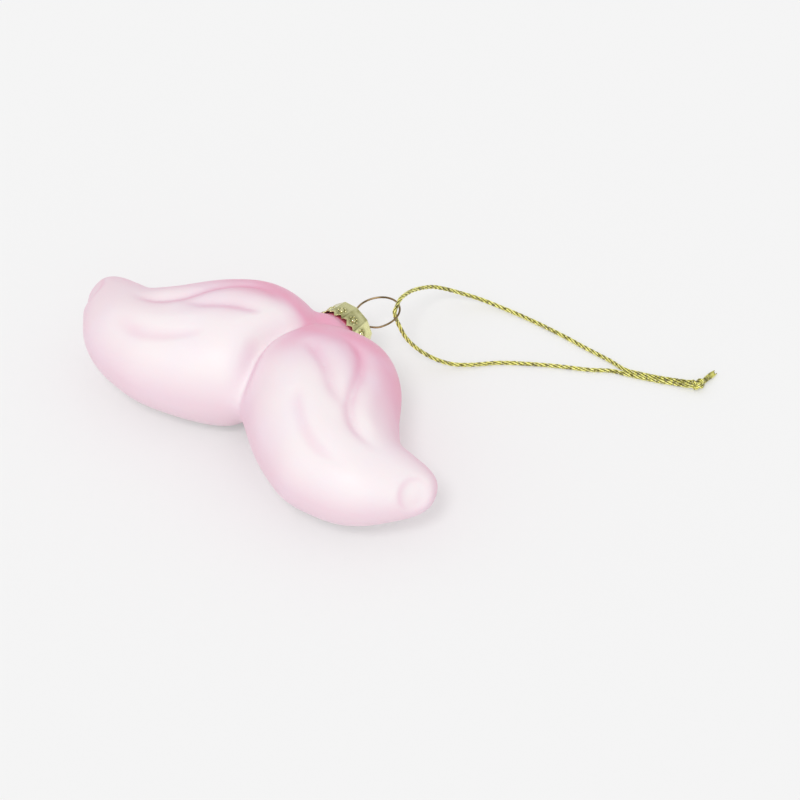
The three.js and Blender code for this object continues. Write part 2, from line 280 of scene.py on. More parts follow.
def grow_with(made: Object, tree: NodeTree, sizes: dict[str, Any]) -> Object:
    """Runs a geometry node tree on an object and keeps the result as its mesh.

    Args:
        made: The object, changed in place.
        tree: The node tree.
        sizes: The tree's named inputs and their values.

    Returns:
        The same object.
    """
    modifier = made.modifiers.new(tree.name, "NODES")
    modifier.node_group = tree
    for item in tree.interface.items_tree:
        if item.item_type == "SOCKET" and item.in_out == "INPUT" and item.name in sizes:
            modifier[item.identifier] = sizes[item.name]
    return settle(made)


def corners_of(mesh: Mesh) -> np.ndarray:
    """The mesh's corners as rows of metres.

    Args:
        mesh: The mesh.

    Returns:
        One row for each corner.
    """
    flat = np.zeros(len(mesh.vertices) * 3, np.float32)
    mesh.vertices.foreach_get("co", flat)
    return flat.reshape(-1, 3).astype(float)


def put_corners(mesh: Mesh, points: np.ndarray) -> None:
    """Writes rows of metres back to the mesh's corners."""
    mesh.vertices.foreach_set("co", points.astype(np.float32).ravel())
    mesh.update()


def put_mask(mesh: Mesh, name: str, values: np.ndarray) -> None:
    """Stores one number for each corner under a name that a material reads."""
    mesh.attributes.new(name, "FLOAT", "POINT").data.foreach_set("value", values.astype(np.float32))


def relax(mesh: Mesh, weight: np.ndarray, rounds: int) -> None:
    """Moves each corner towards the middle of its neighbours.

    Args:
        mesh: The mesh, changed in place.
        weight: How far each corner goes in a round, 0 to 1.
        rounds: How many rounds.
    """
    points = corners_of(mesh)
    flat = np.zeros(len(mesh.edges) * 2, np.int32)
    mesh.edges.foreach_get("vertices", flat)
    one, two = flat.reshape(-1, 2).T
    count = len(points)
    joined = np.bincount(flat, minlength=count)
    for _ in range(rounds):
        sums = [np.bincount(one, row[two], count) + np.bincount(two, row[one], count) for row in points.T]
        points += weight[:, None] * (np.stack(sums, axis=1) / joined[:, None] - points)
    put_corners(mesh, points)


def join_meshes(made: Object, other: Object) -> Object:
    """Puts a second object's mesh into the first and removes the second.

    Args:
        made: The object that stays.
        other: The object that goes.

    Returns:
        The first object.
    """
    with bpy.context.temp_override(active_object=made, selected_editable_objects=[made, other]):
        bpy.ops.object.join()
    return made


# Node helpers


class Sheet:
    """Adds nodes to a tree and links them."""

    def __init__(self, tree: NodeTree) -> None:
        """Keeps the tree that the nodes go to."""
        self.tree = tree

    def add(self, kind: str, inputs: dict[str | int, Any] | None = None, **settings: Any) -> Node:
        """Adds one node.

        Args:
            kind: The node's type.
            inputs: Values or sockets for its inputs, by name or number.
            **settings: The node's own options.

        Returns:
            The node.
        """
        node = self.tree.nodes.new(kind)
        for name, value in settings.items():
            setattr(node, name, value)
        for name, value in (inputs or {}).items():
            self.feed(node.inputs[name], value)
        return node

    def get(self, kind: str, inputs: dict[str | int, Any] | None = None, **settings: Any) -> NodeSocket:
        """Adds one node, as add does, and returns its first output."""
        return self.add(kind, inputs, **settings).outputs[0]

    def feed(self, socket: NodeSocket, value: Any) -> None:
        """Links a socket to an input, or sets the input's value, where a colour is made opaque.

        Args:
            socket: The input.
            value: A socket or a plain value.
        """
        if isinstance(value, NodeSocket):
            self.tree.links.new(value, socket)
        else:
            socket.default_value = (*value, 1.0) if socket.type == "RGBA" else value

    def fill(self, node: Node, **values: Any) -> None:
        """Feeds a node's inputs, with _ for a space in each name."""
        for label, value in values.items():
            self.feed(node.inputs[label.replace("_", " ")], value)

    def use(self, group: NodeTree, **values: Any) -> Node:
        """Places a shared group with its own values.

        Args:
            group: The group.
            **values: Its inputs, with _ for a space in each name.

        Returns:
            The group's node.
        """
        node = self.add("ShaderNodeGroup", node_tree=group)
        self.fill(node, **values)
        return node

    def mask(self, name: str) -> NodeSocket:
        """Reads a piece's own mask."""
        return self.add("ShaderNodeAttribute", attribute_name=name).outputs["Fac"]

    def maths(self, operation: str, *values: Any) -> NodeSocket:
        """Adds a Math node with its inputs in order."""
        return self.get("ShaderNodeMath", dict(enumerate(values)), operation=operation)

    def mix(self, share: Any, first: Any, second: Any) -> NodeSocket:
        """Mixes two colours, from the first at share 0 to the second at 1."""
        return self.add("ShaderNodeMix", {0: share, 6: first, 7: second}, data_type="RGBA").outputs[2]

    def noise(self, place: NodeSocket, scale: Any, detail: float = 2.0, roughness: float = 0.5) -> NodeSocket:
        """Adds a noise at a place.

        Args:
            place: The coordinates.
            scale: The noise's scale.
            detail: Its detail.
            roughness: Its roughness.

        Returns:
            The noise's value.
        """
        values = {"Vector": place, "Scale": scale, "Detail": detail, "Roughness": roughness}
        return self.add("ShaderNodeTexNoise", values).outputs["Fac"]

    def spread(self, value: NodeSocket, low: float, high: float, **more: Any) -> NodeSocket:
        """Stretches a value from low to high over 0 to 1, or over To_Min to To_Max.

        Args:
            value: The value.
            low: What becomes 0.
            high: What becomes 1.
            **more: To_Min and To_Max, where the limits differ.

        Returns:
            The stretched value.
        """
        node = self.add("ShaderNodeMapRange", {"Value": value, "From Min": low, "From Max": high})
        self.fill(node, **more)
        return node.outputs["Result"]

    def bump(self, height: NodeSocket, strength: float, distance: float) -> NodeSocket:
        """Turns a height into a normal."""
        return self.get("ShaderNodeBump", {"Height": height, "Strength": strength, "Distance": distance})

    def mark(self, geometry: NodeSocket, name: str, value: NodeSocket) -> NodeSocket:
        """Stores one number for each point of a geometry under a name that a material reads."""
        inputs = {"Geometry": geometry, "Name": name, "Value": value}
        return self.get("GeometryNodeStoreNamedAttribute", inputs, data_type="FLOAT", domain="POINT")


Group = tuple[Sheet, Node, Node]


def new_group(name: str, kind: str, inputs: dict[str, Any], outputs: dict[str, str]) -> Group:
    """Makes a node group with named sockets.

    Args:
        name: The group's name.
        kind: The tree's type.
        inputs: Each input's starting number, or the word for its type of socket.
        outputs: The word for each output's type of socket.

    Returns:
        The group's sheet, its input node and its output node.
    """
    tree = bpy.data.node_groups.new(name, kind)
    for label, start in inputs.items():
        word = {int: "Int", float: "Float"}.get(type(start), start)
        made = tree.interface.new_socket(label, in_out="INPUT", socket_type=f"NodeSocket{word}")
        if word != start:
            made.default_value = start
    for label, word in outputs.items():
        tree.interface.new_socket(label, in_out="OUTPUT", socket_type=f"NodeSocket{word}")
    sheet = Sheet(tree)
    return sheet, sheet.add("NodeGroupInput"), sheet.add("NodeGroupOutput")


class SharedEffects:
    """The shader groups that more than one finish uses."""

    def __init__(self) -> None:
        """Builds both groups."""
        self.grain = self.build_grain()
        self.clouds = self.build_clouds()

    def build_grain(self) -> NodeTree:
        """Fine grain: a value between two limits and a height, both from one fine noise.

        Returns:
            The group.
        """
        inputs = {"Vector": "Vector", "Scale": 1000.0, "Low": 0.3, "High": 0.5}
        outputs = {"Value": "Float", "Height": "Float"}
        sheet, start, end = new_group("fine_grain", "ShaderNodeTree", inputs, outputs)
        given = start.outputs
        noise = sheet.noise(given["Vector"], given["Scale"], detail=3.0, roughness=0.6)
        value = sheet.spread(noise, 0.3, 0.7, To_Min=given["Low"], To_Max=given["High"])
        sheet.fill(end, Value=value, Height=noise)
        return sheet.tree

    def build_clouds(self) -> NodeTree:
        """Soft clouds: a colour that drifts towards a second one in soft patches.

        Returns:
            The group.
        """
        inputs = {"Vector": "Vector", "Scale": 100.0, "Amount": 0.3, "Main": "Color", "Other": "Color"}
        sheet, start, end = new_group("soft_clouds", "ShaderNodeTree", inputs, {"Colour": "Color"})
        given = start.outputs
        noise = sheet.noise(given["Vector"], given["Scale"])
        limits = {"Value": noise, "From Min": 0.4, "From Max": 0.7}
        patch = sheet.add("ShaderNodeMapRange", limits, interpolation_type="SMOOTHSTEP").outputs["Result"]
        share = sheet.maths("MULTIPLY", patch, given["Amount"])
        sheet.fill(end, Colour=sheet.mix(share, given["Main"], given["Other"]))
        return sheet.tree


@dataclass(frozen=True)
class Finish:
    """What every finish shares: a named material with one Principled shader."""

    name: str
    effects: SharedEffects

    def start(self, **constants: Any) -> tuple[Material, Sheet, Node, NodeSocket]:
        """Makes the material.

        Args:
            **constants: The shader's plain socket values, with _ for a space in each name.

        Returns:
            The material, its sheet, its shader and its Object coordinates.
        """
        material = bpy.data.materials.new(self.name)
        material.use_nodes = True
        material.node_tree.nodes.clear()
        sheet = Sheet(material.node_tree)
        shader = sheet.add("ShaderNodeBsdfPrincipled")
        sheet.fill(shader, **constants)
        sheet.add("ShaderNodeOutputMaterial", {"Surface": shader.outputs["BSDF"]})
        return material, sheet, shader, sheet.add("ShaderNodeTexCoord").outputs["Object"]


@dataclass(frozen=True)
class LacquerFinish(Finish):
    """Satin pearl lacquer on glass, from near white to deep pink, toned by a mask that also holds painted
    highlight and painted shade, with a dark red of painted shade under the cap.
    """

    # The darkest reds show only where the mask adds painted dark red shade under the cap's rim.
    tones: tuple[tuple[float, Colour], ...] = (
        (0.06, (0.92, 0.835, 0.85)),
        (0.28, (0.865, 0.655, 0.735)),
        (0.55, (0.84, 0.44, 0.58)),
        (0.75, (0.86, 0.34, 0.49)),
        (0.88, (0.76, 0.14, 0.24)),
        (1.0, (0.42, 0.04, 0.06)),
    )
    unevenness: float = 0.07
    shimmer: Colour = (0.86, 0.76, 0.90)
    shimmer_share: float = 0.16
    roughness: Pair = (0.42, 0.54)
    peel_depth: float = 0.00008

    def build(self) -> Material:
        """Builds the material.

        Returns:
            The material.
        """
        material, sheet, shader, place = self.start(
            Coat_Weight=0.12,
            Coat_Roughness=0.42,
            Subsurface_Weight=0.12,
            Subsurface_Radius=(1.0, 0.6, 0.7),
            Subsurface_Scale=0.0015,
            Sheen_Weight=0.12,
            Sheen_Roughness=0.4,
            Sheen_Tint=(1.0, 0.75, 0.85),
        )
        # The mask holds the lacquer's pink tone with painted highlight and painted shade added in.
        pink_and_painted_light = sheet.maths("MULTIPLY_ADD", sheet.noise(place, 70.0), self.unevenness, sheet.mask("pink_and_painted_light"))
        ramp = sheet.add("ShaderNodeValToRGB", {"Fac": sheet.maths("SUBTRACT", pink_and_painted_light, self.unevenness / 2)})
        stops = ramp.color_ramp.elements
        while len(stops) < len(self.tones):
            stops.new(0.5)
        for stop, (position, colour) in zip(stops, self.tones):
            stop.position = position
            stop.color = (*colour, 1.0)
        pearl = sheet.use(
            self.effects.clouds,
            Vector=place,
            Scale=90.0,
            Amount=self.shimmer_share,
            Main=ramp.outputs["Color"],
            Other=self.shimmer,
        )
        low, high = self.roughness
        grain = sheet.use(self.effects.grain, Vector=place, Scale=1500.0, Low=low, High=high)
        peel = sheet.bump(sheet.noise(place, 260.0), 0.25, self.peel_depth)
        sheet.fill(shader, Base_Color=pearl.outputs["Colour"], Roughness=grain.outputs["Value"], Normal=peel)
        return material


@dataclass(frozen=True)
class MetalFinish(Finish):
    """Stamped or drawn metal with a tint that drifts in soft clouds, and the sunk colour painted on as shade
    where its mask is high.
    """

    main: Colour
    other: Colour
    # The colour of painted shade, laid where the sunk mask is high.
    sunk: Colour
    roughness: Pair
    grain_scale: float
    cloud_scale: float
    dent: float
    lacquer: float

    def build(self) -> Material:
        """Builds the material.

        Returns:
            The material.
        """
        coat = {"Coat_Weight": self.lacquer, "Coat_Roughness": 0.2}
        material, sheet, shader, place = self.start(Metallic=1.0, **coat)
        tint = {"Scale": self.cloud_scale, "Amount": 0.7, "Main": self.main, "Other": self.other}
        drift = sheet.use(self.effects.clouds, Vector=place, **tint)
        # Painted shade: the sunk colour wherever the sunk mask is high.
        mixed = sheet.mix(sheet.mask("sunk"), drift.outputs["Colour"], self.sunk)
        low, high = self.roughness
        grain = sheet.use(self.effects.grain, Vector=place, Scale=self.grain_scale, Low=low, High=high)
        dented = sheet.bump(grain.outputs["Height"], 0.4, self.dent)
        sheet.fill(shader, Base_Color=mixed, Roughness=grain.outputs["Value"], Normal=dented)
        return material


@dataclass(frozen=True)
class CordFinish(Finish):
    """Metallic film thread: bright where a ply stands out, with painted shade in the valleys between plies
    and painted glints.
    """

    bright: Colour = (1.0, 0.96, 0.22)
    warm: Colour = (0.15, 0.12, 0.002)
    glint: Colour = (1.0, 1.0, 0.8)
    valley_shade: Colour = (0.045, 0.042, 0.002)
    wraps_along: float = 5200.0
    wraps_around: float = 5.0
    glint_between: Pair = (0.54, 0.66)
    valley_shade_between: Pair = (0.68, 0.86)
    thread_depth: float = 0.00006

    def build(self) -> Material:
        """Builds the material.

        Returns:
            The material.
        """
        material, sheet, shader, place = self.start(Metallic=0.35, Specular_IOR_Level=0.6)
        tint = {"Scale": 1200.0, "Amount": 0.95, "Main": self.bright, "Other": self.warm}
        film = sheet.use(self.effects.clouds, Vector=place, **tint)
        along = sheet.maths("MULTIPLY", sheet.mask("along"), self.wraps_along)
        around = sheet.maths("MULTIPLY", sheet.mask("around"), self.wraps_around)
        wraps = sheet.get("ShaderNodeCombineXYZ", {"X": along, "Y": around})
        thread = sheet.use(self.effects.grain, Vector=wraps, Scale=1.0, Low=0.26, High=0.5)
        # Painted glints: the glint colour where the thread's noise runs high.
        shine = sheet.spread(thread.outputs["Height"], *self.glint_between)
        glinting = sheet.mix(shine, film.outputs["Colour"], self.glint)
        # Painted shade: the valley colour where the section lies in towards the cord's middle, between plies.
        rise = sheet.spread(sheet.mask("rise"), *self.valley_shade_between)
        ridges = sheet.bump(thread.outputs["Height"], 0.7, self.thread_depth)
        mixed = sheet.mix(rise, self.valley_shade, glinting)
        sheet.fill(shader, Base_Color=mixed, Roughness=thread.outputs["Value"], Normal=ridges)
        return material


@dataclass(frozen=True)
class FloorFinish(Finish):
    """Plain pale tabletop, which shows the camera a part of its shadows."""

    colour: Colour = (0.9, 0.9, 0.9)
    shadow_share: float = 0.7
    level: float = 0.913

    def build(self) -> Material:
        """Builds the material.

        Returns:
            The material.
        """
        material, sheet, shader, place = self.start(Specular_IOR_Level=0.0, Emission_Color=(1.0, 1.0, 1.0))
        grain = sheet.use(self.effects.grain, Vector=place, Scale=30.0, Low=0.85, High=0.95)
        seen = sheet.add("ShaderNodeLightPath").outputs["Is Camera Ray"]
        mixed = sheet.mix(seen, self.colour, tuple(self.shadow_share * value for value in self.colour))
        glow = sheet.maths("MULTIPLY", seen, (1.0 - self.shadow_share) * self.level)
        sheet.fill(shader, Base_Color=mixed, Emission_Strength=glow, Roughness=grain.outputs["Value"])
        return material


# Geometry node trees


class SweepTrees:
    """The node trees that sweep a section along a route or set a stamped shape out in a ring."""

    def __init__(self) -> None:
        """Builds the trees."""
        self.twist = self.build_twist()
        self.rod = self.build_rod()
        self.rosettes = self.build_rosettes()

    def start_tree(self, name: str, sizes: dict[str, Any]) -> tuple[Sheet, Any, Node]:
        """Makes a tree from geometry to geometry.

        Args:
            name: The tree's name.
            sizes: Its named inputs and their starting values.

        Returns:
            The tree's sheet, its inputs' sockets and its output node.
        """
        inputs = {"Geometry": "Geometry", **sizes, "Material": "Material"}
        sheet, start, end = new_group(name, "GeometryNodeTree", inputs, {"Geometry": "Geometry"})
        return sheet, start.outputs, end

    def finish_tree(self, sheet: Sheet, shape: NodeSocket, given: Any, end: Node) -> NodeTree:
        """Ends a tree in real geometry, smooth and with its material.

        Args:
            sheet: The tree's sheet.
            shape: The geometry so far.
            given: The tree's inputs' sockets.
            end: The tree's output node.

        Returns:
            The tree.
        """
        real = sheet.get("GeometryNodeRealizeInstances", {"Geometry": shape})
        smooth = sheet.get("GeometryNodeSetShadeSmooth", {"Geometry": real, "Shade Smooth": True})
        dressed = sheet.get("GeometryNodeSetMaterial", {"Geometry": smooth, "Material": given["Material"]})
        sheet.fill(end, Geometry=dressed)
        return sheet.tree

    def rail(self, sheet: Sheet, given: Any) -> NodeSocket:
        """Makes the given route a curve with points at even steps."""
        curve = sheet.get("GeometryNodeMeshToCurve", {"Mesh": given["Geometry"]})
        even = {"Curve": curve, "Length": given["Step"]}
        return sheet.get("GeometryNodeResampleCurve", even, mode="LENGTH")

    def circle(self, sheet: Sheet, count: NodeSocket, radius: NodeSocket) -> NodeSocket:
        """Sets points out evenly in a circle."""
        return sheet.get("GeometryNodeMeshCircle", {"Vertices": count, "Radius": radius})

    def sweep(self, sheet: Sheet, rail: NodeSocket, section: NodeSocket) -> NodeSocket:
        """Sweeps a section along a rail and closes its ends."""
        inputs = {"Curve": rail, "Profile Curve": section, "Fill Caps": True}
        return sheet.get("GeometryNodeCurveToMesh", inputs)

    def build_twist(self) -> NodeTree:
        """Plies laid round each other along a route, with their masks.

        Returns:
            The tree.
        """
        ply_sizes = {"Plies": 4, "Ply Radius": 0.0002, "Ply Offset": 0.0002}
        sizes = {**ply_sizes, "Pitch": 0.005, "Step": 0.0002, "Sides": 8}
        sheet, given, end = self.start_tree("twisted_plies", sizes)
        run = sheet.add("GeometryNodeSplineParameter").outputs["Length"]
        tilt = sheet.maths("MULTIPLY", sheet.maths("DIVIDE", run, given["Pitch"]), 2 * math.pi)
        rail = sheet.get("GeometryNodeSetCurveTilt", {"Curve": self.rail(sheet, given), "Tilt": tilt})
        rail = sheet.mark(rail, "along", run)
        spots = self.circle(sheet, given["Plies"], given["Ply Offset"])
        circle = {"Resolution": given["Sides"], "Radius": given["Ply Radius"]}
        ply = sheet.get("GeometryNodeCurvePrimitiveCircle", circle)
        ply = sheet.mark(ply, "around", sheet.add("GeometryNodeSplineParameter").outputs["Factor"])
        laid = sheet.get("GeometryNodeInstanceOnPoints", {"Points": spots, "Instance": ply})
        section = sheet.get("GeometryNodeRealizeInstances", {"Geometry": laid})
        position = sheet.get("GeometryNodeInputPosition")
        reach = sheet.add("ShaderNodeVectorMath", {0: position}, operation="LENGTH").outputs["Value"]
        outer = sheet.maths("ADD", given["Ply Radius"], given["Ply Offset"])
        # The rise mask, which the cord's material turns into painted shade between plies.
        section = sheet.mark(section, "rise", sheet.maths("DIVIDE", reach, outer))
        return self.finish_tree(sheet, self.sweep(sheet, rail, section), given, end)

    def build_rod(self) -> NodeTree:
        """One round rod along a route.

        Returns:
            The tree.
        """
        sheet, given, end = self.start_tree("round_rod", {"Radius": 0.0002, "Step": 0.0002, "Sides": 12})
        circle = {"Resolution": given["Sides"], "Radius": given["Radius"]}
        section = sheet.get("GeometryNodeCurvePrimitiveCircle", circle)
        return self.finish_tree(sheet, self.sweep(sheet, self.rail(sheet, given), section), given, end)

    def build_rosettes(self) -> NodeTree:
        """Stamped rosettes, each a dome in a ring of dots, set round the Y axis.

        Returns:
            The tree.
        """
        sizes = {
            "Count": 10,
            "Ring Radius": 0.006,
            "Dots": 7,
            "Dot Radius": 0.0002,
            "Dot Ring": 0.0006,
            "Dome Radius": 0.0003,
            "Seed": 3,
        }
        sheet, given, end = self.start_tree("stamped_rosettes", sizes)
        ball = {"Segments": 10, "Rings": 7, "Radius": given["Dot Radius"]}
        spots = self.circle(sheet, given["Dots"], given["Dot Ring"])
        laid = {"Points": spots, "Instance": sheet.get("GeometryNodeMeshUVSphere", ball)}
        dome = {"Segments": 14, "Rings": 9, "Radius": given["Dome Radius"]}
        both = sheet.add("GeometryNodeJoinGeometry")
        sheet.feed(both.inputs[0], sheet.get("GeometryNodeInstanceOnPoints", laid))
        sheet.feed(both.inputs[0], sheet.get("GeometryNodeMeshUVSphere", dome))
        rosette = sheet.get("GeometryNodeRealizeInstances", {"Geometry": both.outputs[0]})
        flat = sheet.get("GeometryNodeTransform", {"Geometry": rosette, "Scale": (1.0, 1.0, 0.75)})
        ring_spots = self.circle(sheet, given["Count"], given["Ring Radius"])
        upright = {"Geometry": ring_spots, "Rotation": (math.pi / 2, 0.0, 0.0)}
        position = sheet.get("GeometryNodeInputPosition")
        placed = {
            "Points": sheet.get("GeometryNodeTransform", upright),
            "Instance": flat,
            "Rotation": sheet.get("FunctionNodeAlignRotationToVector", {"Vector": position}, axis="Z"),
        }
        turns = {"Min": (0.0, 0.0, 0.0), "Max": (0.0, 0.0, 6.28), "Seed": given["Seed"]}
        spun = {
            "Instances": sheet.get("GeometryNodeInstanceOnPoints", placed),
            "Rotation": sheet.get("FunctionNodeRandomValue", turns, data_type="FLOAT_VECTOR"),
        }
        return self.finish_tree(sheet, sheet.get("GeometryNodeRotateInstances", spun), given, end)


# The bauble's own pieces


@dataclass(frozen=True)
class Place:
    """Where the glass's own frame lies in the model, in millimetres."""

    shift: float
    height: float

    @classmethod
    def under_cap(cls, cap_top: float) -> "Place":
        """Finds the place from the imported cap, whose top lies at cap_top on the neck's axis."""
        low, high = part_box("crown_cap")
        return cls(shift=high.y / MM - cap_top, height=(low.z + high.z) / 2 / MM)

    def bring(self, points: np.ndarray) -> np.ndarray:
        """Takes rows of the glass's own frame to metres in the model."""
        return (points + np.array([0.0, self.shift, self.height])) * MM

    def bring_table(self, points: np.ndarray) -> np.ndarray:
        """The same for rows whose height is above the table."""
        return (points + np.array([0.0, self.shift, 0.0])) * MM

    def take_back(self, points: np.ndarray) -> np.ndarray:
        """Takes metres in the model to rows of the glass's own frame."""
        return points / MM - np.array([0.0, self.shift, self.height])


@dataclass
class Piece:
    """What every sub-assembly of the bauble has."""

    place: Place
    finish: Material

    def dress(self, made: Object, body: str, node: str, slot: str) -> Object:
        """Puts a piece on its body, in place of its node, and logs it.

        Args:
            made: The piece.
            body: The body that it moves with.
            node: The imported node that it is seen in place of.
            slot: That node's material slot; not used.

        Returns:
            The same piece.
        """
        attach(made, body)
        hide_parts(node)
        log.info("%s: %d faces", made.name, len(made.data.polygons))
        return made


@dataclass(frozen=True)
class Groove:
    """A groove pressed into each lobe, along plan points of the right one."""

    depth: float
    width: float
    ridge: float
    back_share: float
    points: tuple[Pair, ...]
    sharpness: float = 2.2

    def near(self, x: np.ndarray, y: np.ndarray) -> tuple[np.ndarray, np.ndarray]:
        """Measures how near plan points are to the groove.

        Args:
            x: The points' x, on either lobe.
            y: The points' y.

        Returns:
            The signed distance, and how much of the groove's depth is left there, 0 to 1.
        """
        distance, along = path_distance(plan_curve(self.points, 8), np.abs(x), y)
        return distance, band(along, 0.0, 0.25, 0.7, 1.0)

    def press(self, x: np.ndarray, y: np.ndarray, is_back: np.ndarray) -> np.ndarray:
        """How far the groove presses the glass in, with a low crest along one side.

        Args:
            x: The points' x.
            y: The points' y.
            is_back: Which of them are on the back.

        Returns:
            A depth for each point.
        """
        distance, left = self.near(x, y)
        broad, narrow = bell(distance, 0.0, self.width), bell(distance, 0.0, self.width / self.sharpness)
        crest = self.ridge * bell(distance, 2 * self.width, self.width)
        return np.where(is_back, self.back_share, 1.0) * left * (0.5 * self.depth * (broad + narrow) - crest)


@dataclass(frozen=True)
class Waist:
    """The crease between the lobes, and how the right lobe's shoulder swells over to the left."""

    depth: float = 3.2
    left_width: float = 2.6
    right_width: float = 1.0
    top_share: float = 0.35
    back_share: float = 0.6
    swell: float = 2.3
    reach: float = 9.0
    bow: tuple[float, float, float] = (-13.0, -2.0, 12.0)

    def aside(self, x: np.ndarray, y: np.ndarray) -> np.ndarray:
        """How far plan points near the waist are carried to the left."""
        low, middle, high = self.bow
        return self.swell * band(y, low, middle, middle, high) * bell(x, 0.0, self.reach)

    def press(self, x: np.ndarray, y: np.ndarray, is_back: np.ndarray) -> np.ndarray:
        """How far the crease presses the glass in.

        Args:
            x: The points' x.
            y: The points' y.
            is_back: Which of them are on the back.

        Returns:
            A depth for each point.
        """
        fade = 1.0 - (1.0 - self.top_share) * smoothstep(y, self.bow[1], self.bow[2])
        crease = bell(x, 0.0, np.where(x < 0, self.left_width, self.right_width))
        return np.where(is_back, self.back_share, 1.0) * self.depth * fade * crease


@dataclass(frozen=True)
class TipDimple:
    """The round dimple in the end of each tip, given for the right one."""

    at: Point = (47.3, -8.6, 2.8)
    faces: Point = (0.7, -0.37, 0.6)
    radius: float = 3.5
    depth: float = 1.0

    def away(self, points: np.ndarray, left_drop: float) -> tuple[np.ndarray, np.ndarray]:
        """Measures points against the nearer dimple.

        Args:
            points: Rows of the glass's own frame.
            left_drop: How much lower the left tip hangs.

        Returns:
            Each row's distance in dimple radii, and what mirrors a direction to its side.
        """
        side = np.where(points[..., :1] < 0, -1.0, 1.0)
        mirror = np.concatenate([side, np.ones_like(side), np.ones_like(side)], axis=-1)
        centre = np.array(self.at) * mirror
        centre[..., 1:2] -= np.where(side < 0, left_drop, 0.0)
        return np.linalg.norm(points - centre, axis=-1, keepdims=True) / self.radius, mirror

    def press(self, points: np.ndarray, left_drop: float) -> np.ndarray:
        """Presses the dimples into rows of the glass's own frame.

        Args:
            points: The rows.
            left_drop: How much lower the left tip hangs.

        Returns:
            The pressed rows.
        """
        away, mirror = self.away(points, left_drop)
        out = np.array(self.faces) / np.linalg.norm(self.faces)
        return points - self.depth * np.exp(-(away**4)) * (out * mirror)


@dataclass(frozen=True)
class Neck:
    """The glass's short neck, which the cap and the wire sit on."""

    radius: float = 4.9
    wall: float = 1.0
    top: float = 23.6
    lip: float = 0.3
    root: float = 9.6
    flare_length: float = 10.6
    flare_growth: float = 2.6
    flare: tuple[Pair, ...] = (
        (0.0, 0.5), (0.55, 1.0), (0.7, 0.8), (0.79, 0.46), (0.86, 0.24), (0.96, 0.18), (1.0, 0.0)
    )
    bore_floor: float = 16.8
    sides: int = 128

    def build(self, place: Place) -> Object:
        """Turns the neck, with its flared root, its rounded lip and its bore.

        Args:
            place: Where the glass lies.

        Returns:
            The object.
        """
        length, growth = self.flare_length, self.flare_growth
        flare = plan_curve([(grown * growth, self.root + along * length) for along, grown in self.flare], 8)
        outline = [(self.radius + grown, y) for grown, y in flare]
        for a in np.linspace(0, np.pi / 2, 5):
            inset, sunk = self.lip * (1 - math.cos(a)), self.lip * (1 - math.sin(a))
            outline.append((self.radius - inset, self.top - sunk))
        outline += [(self.radius - self.wall, y) for y in (self.top, self.bore_floor)]
        poles = np.array([[0.0, self.root, 0.0], [0.0, self.bore_floor, 0.0]])
        points = np.vstack([*(ring(radius, y, self.sides) for radius, y in outline), poles])
        return new_object("glass_neck", place.bring(points), ring_faces(len(outline), self.sides, 2))


@dataclass(frozen=True)
class ToneAndPaintedLight:
    """How strongly and where the lacquer is pink, and where highlight and shade are painted into its tone, as
    shares of its tones and as millimetres.
    """

    # Painted highlight where the skin faces this direction, painted shade where it turns away.
    painted_light_from: Point = (0.35, -0.4, 0.85)
    back_from: float = 0.45
    back_gain: float = 1.8
    palest: float = 0.045
    capward: float = 0.24
    capward_y: Pair = (-9.0, 15.0)
    # Painted shade on the right lobe's side of the waist crease.
    waist: float = 0.17
    waist_shade_x: Pair = (-2.0, 2.0)
    waist_shade_width: float = 7.0
    waist_shade_y: Pair = (-14.0, 2.0)
    neck: float = 0.29
    neck_y: Pair = (4.0, 14.5)
    neck_width: float = 13.0
    collar: float = 0.6
    collar_y: Pair = (15.5, 17.5)
    # Painted highlight, paler, on the left lobe beside the waist.
    painted_highlight: float = 0.2
    highlight_x: Pair = (-5.0, 5.0)
    highlight_y: tuple[float, float, float, float] = (-6.0, 2.0, 8.0, 13.0)
    # Painted shade on faces turned away from the lit direction, easing off at the very edge.
    edge: float = 0.66
    edge_fall: float = 0.38
    # Painted shade, pinker, along each groove.
    groove: float = 0.12
    groove_shade_width: float = 0.7
    # Painted shade round the rim of each tip's dimple, weaker out at the tips' ends.
    rim: float = 0.1
    rim_shade_width: float = 0.2
    rim_shade_least: float = 0.3
    rim_shade_x: Pair = (-47.5, -45.5)
    deep_from: float = 0.26
    deep_gain: float = 0.4
    paler: float = 0.04
    deepest: float = 0.66
    # Painted dark red shade on the neck just under the cap's rim.
    red: float = 0.32
    cap_shade_y: Pair = (18.6, 19.2)
    cap_shade_radius: Pair = (7.0, 8.5)


